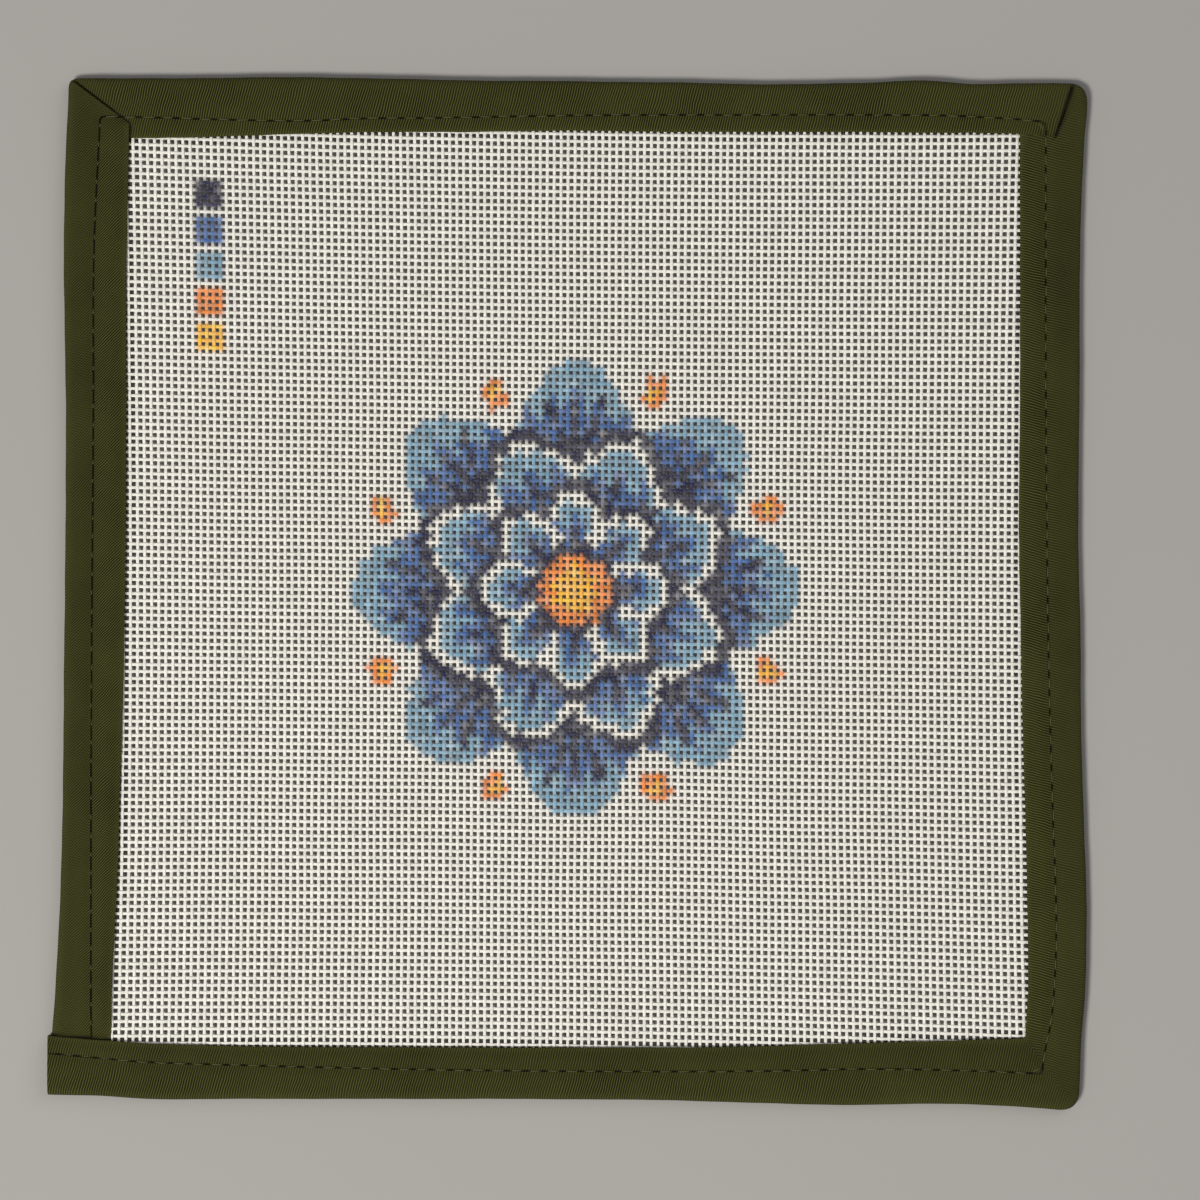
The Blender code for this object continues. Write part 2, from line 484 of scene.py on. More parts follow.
RIGHT = Run(
    heading=(0, -1),
    outward=(1, 0),
    sunk=0.33,
    ribbed=(0.80, 0.95),
    clear=(0.40, 0.85),
    rows=(
        Row(-102.5, 104.20, 90.70),
        Row(-98.0, 104.30, 90.70),
        Row(-90.0, 103.65, 90.70),
        Row(-72.0, 102.95, 90.70),
        Row(-42.0, 102.75, 90.70),
        Row(-11.0, 102.55, 90.50),
        Row(9.0, 102.95, 90.90),
        Row(29.0, 103.15, 91.30),
        Row(49.0, 103.75, 91.90),
        Row(64.0, 104.20, 92.20),
        Row(79.0, 103.95, 92.30),
        Row(89.0, 103.15, 91.80),
        Row(104.0, 102.60, 91.60),
    ),
    stitching=(
        Stop(-95.0, 95.9),
        Stop(-40.0, 95.9),
        Stop(10.0, 96.4),
        Stop(44.0, 97.3),
        Stop(54.0, 97.7),
        Stop(65.0, 98.0),
        Stop(77.5, 97.7),
        Stop(86.0, 96.9),
        Stop(92.7, 95.5),
        Stop(97.0, 95.1),
    ),
)
BOTTOM = Run(
    heading=(-1, 0),
    outward=(0, -1),
    sunk=0.32,
    ribbed=(1.0, 1.0),
    clear=(0.85, 0.62),
    rows=(
        Row(-102.6, 104.00, 88.90),
        Row(-94.7, 103.20, 89.00),
        Row(-77.0, 102.35, 89.50),
        Row(-57.0, 102.55, 90.10),
        Row(-37.0, 102.15, 90.70),
        Row(-17.0, 101.55, 90.90),
        Row(23.0, 101.35, 90.90),
        Row(63.0, 101.35, 90.70),
        Row(83.5, 101.35, 90.10),
        Row(93.5, 100.75, 89.40),
        Row(104.3, 100.50, 88.50),
    ),
    stitching=(
        Stop(-96.0, 96.2),
        Stop(-85.0, 95.7),
        Stop(-62.0, 95.2),
        Stop(-40.0, 95.6),
        Stop(-10.0, 95.7),
        Stop(28.7, 95.3),
        Stop(75.0, 94.2),
        Stop(86.5, 93.7),
        Stop(94.0, 93.0),
        Stop(104.3, 92.0),
    ),
)


class Corner(NamedTuple):
    """How the tape turns one corner, in millimetres.

    Where the tape laps, the run before lies over the run after. Its free edge then goes on to lap_end
    along itself, and the free edge of the run after starts hidden, at lap_start along itself. The crease
    bends at the elbow, which lies at elbow_share of the tape's width from the fold, and belongs to the run
    before where elbow_before says so. It fades between two shares of the width. The run before rises and
    the run after drops, both as shares of the tape's height, within a reach of the crease, and tuck is how
    far one lies over the other. The crease starts on the fold, by its lead before the corner's middle.
    """

    fold_rounding: float
    edge_rounding: float
    rise: float = 0.0
    drop: float = 0.0
    reach: float = 2.5
    tuck: float = 0.0
    fade: tuple[float, float] = (1.1, 1.2)
    lap_end: float | None = None
    lap_start: float | None = None
    elbow: tuple[float, float] | None = None
    elbow_share: float = 0.6
    elbow_before: bool = False
    lead: float = 0.0


class Station(NamedTuple):
    """One place along the tape.

    The elbow lies between the fold and the free edge. lift is how high the tape stands, as a share of its
    usual height, and shift is how far the crease there moves it along.
    """

    fold: np.ndarray
    elbow: np.ndarray
    edge: np.ndarray
    run: int
    lift: float
    shift: float
    crease: Corner | None


@dataclass(frozen=True)
class TapeCourse:
    """The binding's way round the panel: four runs and the three corners between them."""

    runs: tuple[Run, ...] = (LEFT, TOP, RIGHT, BOTTOM)
    corners: tuple[Corner, ...] = (
        Corner(
            fold_rounding=2.0,
            edge_rounding=0.0,
            rise=0.12,
            drop=0.36,
            reach=5.5,
            tuck=0.60,
            lap_end=94.3,
            lap_start=-89.2,
            elbow=(-88.5, 94.0),
            elbow_share=0.85,
        ),
        Corner(
            fold_rounding=3.6,
            edge_rounding=0.6,
            rise=0.06,
            drop=0.30,
            tuck=0.45,
            fade=(0.42, 0.62),
            elbow=(97.85, 91.85),
            elbow_share=0.59,
            elbow_before=True,
            lead=2.2,
        ),
        Corner(fold_rounding=4.5, edge_rounding=0.8),
    )
    fan_reach: float = 24.0
    elbow_reach: float = 9.0
    spacing: float = 0.75
    fine_steps: tuple[float, ...] = (0.0, 0.3, 0.65, 1.05, 1.55, 2.15, 2.8)
    hidden_start: float = -90.5
    start_squeeze: tuple[float, float, float] = (0.42, -88.5, -84.6)
    end_lift: tuple[float, float, float] = (0.09, 89.0, 94.0)
    drop_spread: float = 1.1
    rise_spread: float = 0.9
    plain_elbow: float = 0.6
    wobble: float = 0.07
    dark_starts: tuple[float, float] = (0.08, 0.06)
    dark_lap_end: float = 88.0
    dark_free_edge: tuple[float, float, int] = (84.0, 104.0, 9)

    def at(self, index: int, inner: bool, along: np.ndarray) -> np.ndarray:
        """Points of a run's free edge or fold, before any rounding."""
        run = self.runs[index]
        along = np.asarray(along, float)
        return run.place(along, (run.inner if inner else run.outer)(along))

    def crossing(self, index: int, inner: bool) -> np.ndarray:
        """Where the folds, or the free edges, of two neighbouring runs cross.

        Args:
            index: The corner's number.
            inner: Whether the free edges are meant, and not the folds.

        Returns:
            The crossing's X and Y.
        """
        first, second = self.runs[index], self.runs[index + 1]
        reach, next_reach = (first.inner, second.inner) if inner else (first.outer, second.outer)
        along = first.rows[-1].along
        for _ in range(SETTLING_ROUNDS):
            along = float(next_reach(np.array(-reach(np.array(along)))))
        return self.at(index, inner, along)

    def line(self, index: int, inner: bool, along: np.ndarray) -> np.ndarray:
        """Points of a run's fold or free edge, with its ends on the curves that round its corners.

        Args:
            index: The run's number.
            inner: Whether the free edge is meant, and not the fold.
            along: How far along the run each point lies.

        Returns:
            Each point's X and Y.
        """
        heading = np.array(self.runs[index].heading)
        points = self.at(index, inner, along)
        for number in (index - 1, index):
            if not 0 <= number < len(self.corners):
                continue
            corner = self.corners[number]
            radius = corner.edge_rounding if inner else corner.fold_rounding
            if radius == 0.0:
                continue
            cross = self.crossing(number, inner)
            start = self.at(number, inner, cross @ self.runs[number].heading - radius)
            end = self.at(number + 1, inner, cross @ self.runs[number + 1].heading + radius)
            turn = 0.5 + 0.5 * (along - cross @ heading) / radius
            near = turn > 0.0 if number == index else turn < 1.0
            share = np.clip(turn[near], 0.0, 1.0)[:, None]
            points[near] = (1 - share) ** 2 * start + 2 * share * (1 - share) * cross + share**2 * end
        return points

    def ends(self, index: int, inner: bool) -> tuple[float, float]:
        """Where along a run its fold, or its free edge, starts and ends."""
        heading = np.array(self.runs[index].heading)
        start, end = self.hidden_start, self.runs[index].rows[-1].along
        if index > 0:
            corner = self.corners[index - 1]
            start = float(self.crossing(index - 1, inner) @ heading) - (0.0 if inner else corner.lead)
            start = corner.lap_start if inner and corner.lap_start is not None else start
        if index < len(self.corners):
            corner = self.corners[index]
            end = float(self.crossing(index, inner) @ heading) - (0.0 if inner else corner.lead)
            end = corner.lap_end if inner and corner.lap_end is not None else end
        return start, end

    def steps(self, start: float, end: float) -> np.ndarray:
        """Places along a run, closer together near its ends."""
        fine = np.array(self.fine_steps)
        first, last = start + fine[-1], end - fine[-1]
        count = round((last - first) / self.spacing)
        return np.concatenate([start + fine[:-1], np.linspace(first, last, count), end - fine[-2::-1]])

    def lifts(self, index: int, along: np.ndarray, start: float, end: float) -> np.ndarray:
        """How high the tape stands along a run, as a share of its usual height.

        Args:
            index: The run's number.
            along: The places along it.
            start: Where the run starts.
            end: Where it ends.

        Returns:
            The share at each place.
        """
        lift = np.ones_like(along)
        if index > 0:
            corner = self.corners[index - 1]
            lift -= corner.drop * (1.0 - smooth_step(0.0, self.drop_spread * corner.reach, along - start))
        else:
            squeeze, low, high = self.start_squeeze
            lift -= (1.0 - squeeze) * (1.0 - smooth_step(low, high, along))
        if index < len(self.corners):
            corner = self.corners[index]
            lift += corner.rise * (1.0 - smooth_step(0.0, self.rise_spread * corner.reach, end - along))
        else:
            raised, low, high = self.end_lift
            lift += raised * smooth_step(low, high, along)
        return lift

    def run_stations(self, index: int) -> list[Station]:
        """The places along one run, in order.

        Args:
            index: The run's number.

        Returns:
            Its stations.
        """
        start, end = self.ends(index, False)
        edge_start, edge_end = self.ends(index, True)
        along = self.steps(start, end)
        near, far = start + self.fan_reach, end - self.fan_reach
        edge_along = np.interp(along, [start, near, far, end], [edge_start, near, far, edge_end])
        folds, edges = self.line(index, False, along), self.line(index, True, edge_along)
        for points, seed, waves in ((folds, 40, (9.0, 23.0, 41.0)), (edges, 50, (7.0, 15.0, 37.0))):
            points += (self.wobble * wander(seed + index, along, waves))[:, None] * self.runs[index].outward
        middle = (start + end) / 2
        before = self.corners[index - 1] if index > 0 else None
        after = self.corners[index] if index < len(self.corners) else None
        bent_after = after if after is not None and after.elbow_before else None
        share, bend = np.full(len(along), self.plain_elbow), np.zeros((len(along), 2))
        for corner, tip, away, half in (
            (before, 0, along - start, along < middle),
            (bent_after, -1, end - along, along >= middle),
        ):
            if corner is None or corner.elbow is None:
                continue
            share[half] = corner.elbow_share
            whole = np.array(corner.elbow) - folds[tip] - corner.elbow_share * (edges[tip] - folds[tip])
            bend += whole * (1.0 - smooth_step(0.0, self.elbow_reach, away))[:, None]
        elbows = folds + share[:, None] * (edges - folds) + bend
        lifts = self.lifts(index, along, start, end)
        return [
            Station(fold, elbow, edge, index, lift, 0.0, before if place < middle else after)
            for fold, elbow, edge, lift, place in zip(folds, elbows, edges, lifts, along)
        ]

    def middle(self) -> np.ndarray:
        """The middle of the box round the tape's fold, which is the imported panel's own middle."""
        every = [station for index in range(len(self.runs)) for station in self.run_stations(index)]
        folds = np.array([station.fold for station in every])
        return (folds.min(axis=0) + folds.max(axis=0)) / 2

    def holds(self, points: np.ndarray, inset: float) -> np.ndarray:
        """Whether points lie inside the tape's fold by more than an inset."""
        place = points + self.middle()
        held = np.ones(points.shape[:-1], bool)
        for run in self.runs:
            held &= place @ np.array(run.outward) < run.outer(place @ np.array(run.heading)) - inset
        return held

    def dark_lines(self) -> list[tuple[tuple[int, ...], np.ndarray]]:
        """The lines where one layer of tape shades the next.

        Returns:
            For each line, the runs that it darkens and its points.
        """
        lapped, creased = self.run_stations(0)[-1], self.run_stations(1)[-1]
        lap_top, crease_top = (
            station.fold + share * (station.edge - station.fold)
            for station, share in zip((lapped, creased), self.dark_starts)
        )
        free_edge = self.at(3, True, np.linspace(*self.dark_free_edge))
        lines = (
            ((1,), [lap_top, lapped.edge, self.at(0, True, self.dark_lap_end)]),
            ((1, 2), [crease_top, np.array(self.corners[1].elbow)]),
            ((0,), list(free_edge)),
        )
        return [(runs, np.array(points) - self.middle()) for runs, points in lines]

    def stations(self) -> list[Station]:
        """Every place along the tape, from its hidden start to its cut end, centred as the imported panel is.

        Returns:
            The stations, in order.
        """
        made = []
        for index in range(len(self.runs)):
            run = self.run_stations(index)
            if index > 0 and self.corners[index - 1].tuck > 0.0:
                corner, last = self.corners[index - 1], made[-1]
                made.append(last._replace(shift=0.2 * corner.tuck, lift=1.0 - 0.1 * corner.drop))
                made.append(last._replace(shift=-corner.tuck, lift=1.0 - corner.drop, run=index))
            made += run
        middle = self.middle()
        return [
            station._replace(
                fold=station.fold - middle, elbow=station.elbow - middle, edge=station.edge - middle
            )
            for station in made
        ]

    def stitch_line(self, coarse: float = 0.5, rounding: float = 1.6) -> np.ndarray:
        """The line that the machine stitching follows.

        Args:
            coarse: How far apart its points lie before its corners are rounded.
            rounding: How far each corner is rounded.

        Returns:
            Points from the hidden start to the cut end, SEAM_STEP apart.
        """
        line = []
        for index, run in enumerate(self.runs):
            start, end = run.stitching[0].along, run.stitching[-1].along
            if index > 0:
                start = line[-1] @ run.heading
            if index < len(self.corners):
                after = self.runs[index + 1]
                for _ in range(SETTLING_ROUNDS):
                    end = float(after.stitched(np.array(-run.stitched(np.array(end)))))
            along = np.arange(start, end, coarse)
            line += list(run.place(along, run.stitched(along)))
            if index < len(self.corners):
                line.append(run.place(np.array(end), run.stitched(np.array(end))))
        line = np.array(line)
        kernel = np.hanning(2 * round(rounding / coarse) + 3)[1:-1]
        kernel = kernel / kernel.sum()
        pad = len(kernel) // 2
        padded = np.concatenate([np.repeat(line[:1], pad, axis=0), line, np.repeat(line[-1:], pad, axis=0)])
        eased = np.stack([np.convolve(padded[:, axis], kernel, "valid") for axis in (0, 1)], axis=1)
        travelled = np.concatenate([[0.0], np.cumsum(np.linalg.norm(np.diff(eased, axis=0), axis=1))])
        at = np.arange(0.0, travelled[-1], SEAM_STEP)
        return np.stack([np.interp(at, travelled, eased[:, axis]) for axis in (0, 1)], axis=1) - self.middle()


# --------------------------------------------------------------------------------------------------
# Finishes
# --------------------------------------------------------------------------------------------------


def screen_colour(red: int, green: int, blue: int) -> Colour:
    """Turns a colour as a screen shows it, 0 to 255 a channel, into the linear one that a material takes."""
    shares = (channel / 255 for channel in (red, green, blue))
    return tuple(share / 12.92 if share < 0.04045 else ((share + 0.055) / 1.055) ** 2.4 for share in shares)


@dataclass(frozen=True)
class TapeFinish:
    """Olive bias-cut twill: two families of ribs with painted shade in their hollows and painted highlight on
    their ridges, mottled dye, folds that are paler from abrasion and also carry a painted highlight, and
    painted shade along the seam and at creases and laps.
    """

    # The first two colours are painted shade in the twill's hollows and painted highlight on its ridges; the
    # third is paler abraded cloth with painted highlight; the fourth is painted shade.
    shaded_hollow_colour: Colour = screen_colour(17, 18, 4)
    lit_ridge_colour: Colour = screen_colour(96, 96, 46)
    abraded_and_lit: Colour = screen_colour(84, 84, 44)
    painted_shade: Colour = screen_colour(5, 5, 2)
    slit_width: float = 0.10
    slit_soft: float = 2.1
    slit_length: tuple[float, float] = (0.36, 0.22)
    slit_depth: float = 2.5
    groove_shade: float = 0.50
    even: float = 0.13
    push: Colour = (0.9, 0.9, 0.9)
    rib_pitch: float = 0.495
    rib_angle: float = 75.0
    cross_pitch: float = 0.41
    cross_angle: float = 135.0
    relief: float = 0.00012
    roughness: float = 0.78

    def ribs(self, nodes: Nodes, place: Feed, pitch: float, angle: float) -> bpy.types.NodeSocket:
        """Even ribs across the tape, 0 in the grooves and 1 on the ridges.

        Args:
            nodes: The material.
            place: Where on the cloth, in millimetres along and across it.
            pitch: The ribs' spacing in millimetres.
            angle: How they lean from the tape's length, in degrees.

        Returns:
            The ribs' height.
        """
        turn, rate = math.radians(angle), 2 * math.pi / pitch
        row = (math.sin(turn) * rate, -math.cos(turn) * rate, 0.0)
        phase = nodes.add("VectorMath", {0: place, 1: row}, operation="DOT_PRODUCT").outputs["Value"]
        return nodes.remap(nodes.maths("SINE", phase), 0.0, 0.95, 0.0, 1.0)

    def slits(self, nodes: Nodes) -> bpy.types.NodeSocket:
        """How much painted shade lies on the seam's line.

        Args:
            nodes: The material.

        Returns:
            1 where the thread is drawn down into the tape, less in the hollow between holes, and 0 beside it.
        """
        offset, stitch, sunk = (nodes.reading(name) for name in ("seam_offset", "seam_stitch", "seam_sunk"))
        away, soft = nodes.maths("ABSOLUTE", offset), self.slit_soft * self.slit_width
        beside = nodes.remap(away, self.slit_width, soft, 1.0, 0.0)
        phase = nodes.maths("SUBTRACT", nodes.maths("FRACT", nodes.maths("ADD", stitch, 0.5)), 0.5)
        number = nodes.maths("ROUND", stitch)
        chance = nodes.add("TexWhiteNoise", {"W": number}, noise_dimensions="1D").outputs["Value"]
        least, spread = self.slit_length
        half = nodes.maths("MULTIPLY", sunk, nodes.maths("MULTIPLY_ADD", chance, spread, least))
        past = nodes.maths("SUBTRACT", nodes.maths("ABSOLUTE", phase), half)
        return nodes.maths("MULTIPLY", beside, nodes.remap(past, -0.05, 0.03, 1.0, self.groove_shade))

    def build(self) -> bpy.types.Material:
        """Makes the tape's material."""
        nodes = Nodes("olive_twill_tape")
        place = nodes.add("UVMap", uv_map="Tape").outputs["UV"]
        spot = nodes.add("TexCoord").outputs["Object"]
        drift = nodes.add("TexNoise", {"Vector": place, "Scale": 0.16, "Detail": 2.0}).outputs["Color"]
        pushed = nodes.add("VectorMath", {0: drift, 1: self.push}, operation="MULTIPLY").outputs["Vector"]
        uneven = nodes.add("VectorMath", {0: place, 1: pushed}, operation="ADD").outputs["Vector"]
        main = self.ribs(nodes, uneven, self.rib_pitch, self.rib_angle)
        cross = self.ribs(nodes, uneven, self.cross_pitch, self.cross_angle)
        family, clear, abraded_and_lit_share, shaded = (
            nodes.reading(name) for name in ("rib_family", "rib_painted_light", "abraded_and_lit", "shaded")
        )
        slit = self.slits(nodes)
        patches = nodes.noise(place, 0.11, 3.0, 0.6)
        shared = nodes.maths("ADD", family, nodes.remap(patches, 0.35, 0.65, -0.22, 0.22), clamp=True)
        crossed = nodes.maths("MULTIPLY", cross, nodes.maths("SUBTRACT", 1.0, shared))
        both = nodes.maths("ADD", nodes.maths("MULTIPLY", main, shared), crossed)
        yarn = nodes.noise(place, 3.4, 2.0, 0.65)
        shown = nodes.maths("MULTIPLY_ADD", nodes.maths("SUBTRACT", both, self.even), clear, self.even)
        depth = nodes.maths("MULTIPLY", shown, nodes.remap(yarn, 0.3, 0.7, 0.65, 1.15))
        lumps = nodes.maths("ADD", depth, nodes.maths("MULTIPLY", yarn, 0.35))
        height = nodes.maths("SUBTRACT", lumps, nodes.maths("MULTIPLY", slit, self.slit_depth))
        dye = nodes.noise(spot, 55.0, 4.0, 0.55)
        # Painted shade and highlight: the cloth is painted near-black in the hollows between ribs and light on
        # their ridges.
        toned = nodes.mix(nodes.remap(dye, 0.3, 0.7, 0.0, 0.12), self.shaded_hollow_colour, self.lit_ridge_colour)
        ribbed = nodes.mix(nodes.remap(depth, 0.0, 0.9, 0.0, 0.9), toned, self.lit_ridge_colour)
        # Paler abraded cloth and painted highlight on the folds, the free edge and the raised lip of each
        # crease.
        abrasion_and_highlight = nodes.maths("MULTIPLY", abraded_and_lit_share, nodes.remap(yarn, 0.3, 0.7, 0.25, 0.75))
        abraded_and_lit = nodes.mix(abrasion_and_highlight, ribbed, self.abraded_and_lit)
        # Painted shade beside laps and creases and on the tucked layer.
        creased = nodes.mix(nodes.maths("MULTIPLY", shaded, 0.95), abraded_and_lit, self.painted_shade)
        # Painted shade in the seam's needle holes and in the hollow along it.
        shade = nodes.mix(nodes.maths("MULTIPLY", slit, 0.92), creased, self.painted_shade)
        roughness = nodes.remap(both, 0.0, 1.0, self.roughness + 0.08, self.roughness - 0.06)
        return nodes.finish(
            Base_Color=shade,
            Roughness=roughness,
            Specular_IOR_Level=0.10,
            Normal=nodes.bump(height, self.relief),
        )


@dataclass(frozen=True)
class CanvasFinish:
    """Starched cotton canvas, painted by hand thread by thread, with painted shade in the hollows of each
    thread's twist.
    """

    twist_pitch: float = 0.62
    twist_relief: float = 0.00003
    fibre_relief: float = 0.000015
    bare_roughness: float = 0.72
    painted_roughness: float = 0.56
    grime: Colour = (0.95, 0.93, 0.885)

    def build(self) -> bpy.types.Material:
        """Makes the canvas threads' material."""
        nodes = Nodes("painted_cotton_canvas")
        place = nodes.add("UVMap", uv_map="Thread").outputs["UV"]
        spot = nodes.add("TexCoord").outputs["Object"]
        painted = nodes.add("Attribute", attribute_name="paint")
        twist = nodes.twist(place, self.twist_pitch)
        fibres = nodes.noise(spot, 6500.0, 3.0, 0.65)
        mottle = nodes.noise(spot, 1500.0, 3.0, 0.6)
        cover = nodes.maths("MULTIPLY", painted.outputs["Alpha"], nodes.remap(mottle, 0.35, 0.7, 0.82, 1.0))
        grime = nodes.noise(spot, 22.0, 3.0, 0.5)
        tint = nodes.mix(nodes.remap(grime, 0.35, 0.75, 0.0, 0.30), (1.0, 1.0, 1.0), self.grime)
        base = nodes.mix(1.0, painted.outputs["Color"], tint, "MULTIPLY")
        # Painted shade: the hollows of the twist are darkened.
        twist_shaded = nodes.mix(nodes.remap(twist, 0.0, 0.45, 0.16, 0.0), base, (0.0, 0.0, 0.0))
        speckled = nodes.mix(nodes.remap(mottle, 0.3, 0.7, 0.10, 0.0), twist_shaded, (0.0, 0.0, 0.0))
        roughness = nodes.remap(cover, 0.0, 1.0, self.bare_roughness, self.painted_roughness)
        lumps = nodes.bump(twist, self.twist_relief)
        return nodes.finish(
            Base_Color=speckled,
            Roughness=roughness,
            Specular_IOR_Level=0.35,
            Normal=nodes.bump(fibres, self.fibre_relief, normal=lumps),
        )


@dataclass(frozen=True)
class StitchFinish:
    """Glossy olive sewing thread, twisted from two plies, with painted shade in the hollows between the plies.
    """

    colour: Colour = screen_colour(94, 95, 52)
    groove_shade: Colour = screen_colour(36, 37, 16)
    twist_pitch: float = 0.45
    relief: float = 0.00003

    def build(self) -> bpy.types.Material:
        """Makes the sewing thread's material."""
        nodes = Nodes("olive_sewing_thread")
        place = nodes.add("UVMap", uv_map="Thread").outputs["UV"]
        twist = nodes.twist(place, self.twist_pitch)
        spot = nodes.add("TexCoord").outputs["Object"]
        fuzz = nodes.noise(spot, 5200.0, 2.0, 0.6)
        # Painted shade: the hollows of the twist are painted darker.
        shade = nodes.mix(nodes.remap(twist, 0.1, 0.8, 0.0, 1.0), self.groove_shade, self.colour)
        mottled = nodes.mix(nodes.remap(fuzz, 0.35, 0.7, 0.0, 0.3), shade, self.groove_shade)
        return nodes.finish(
            Base_Color=mottled,
            Roughness=nodes.remap(fuzz, 0.3, 0.7, 0.46, 0.6),
            Specular_IOR_Level=0.30,
            Normal=nodes.bump(nodes.maths("ADD", twist, nodes.maths("MULTIPLY", fuzz, 0.3)), self.relief),
        )


@dataclass(frozen=True)
class FloorFinish:
    """A plain pale matt surface."""

    colour: Colour = screen_colour(164, 161, 156)
    faint: Colour = screen_colour(158, 155, 150)

    def build(self) -> bpy.types.Material:
        """Makes the floor's material."""
        nodes = Nodes("pale_floor")
        spot = nodes.add("TexCoord").outputs["Object"]
        cloud = nodes.noise(spot, 3.0, 3.0, 0.5)
        return nodes.finish(Base_Color=nodes.mix(cloud, self.faint, self.colour), Roughness=0.92)


# --------------------------------------------------------------------------------------------------
# The painted design
# --------------------------------------------------------------------------------------------------


class Paint(Enum):
    """The bare canvas and the paints, each with its colour as a screen shows it."""

    BARE = (243, 239, 229)
    NAVY = (20, 19, 62)
    DENIM = (66, 102, 158)
    SKY = (128, 165, 186)
    ORANGE = (236, 136, 56)
    YELLOW = (248, 184, 50)


PAINTS = list(Paint)


class Ring(NamedTuple):
    """One ring of like petals: how many, where the first points, and each petal's size in threads."""

    count: int
    first: float
    middle: float
    half_length: float
    half_width: float
    root: float
    tip: float


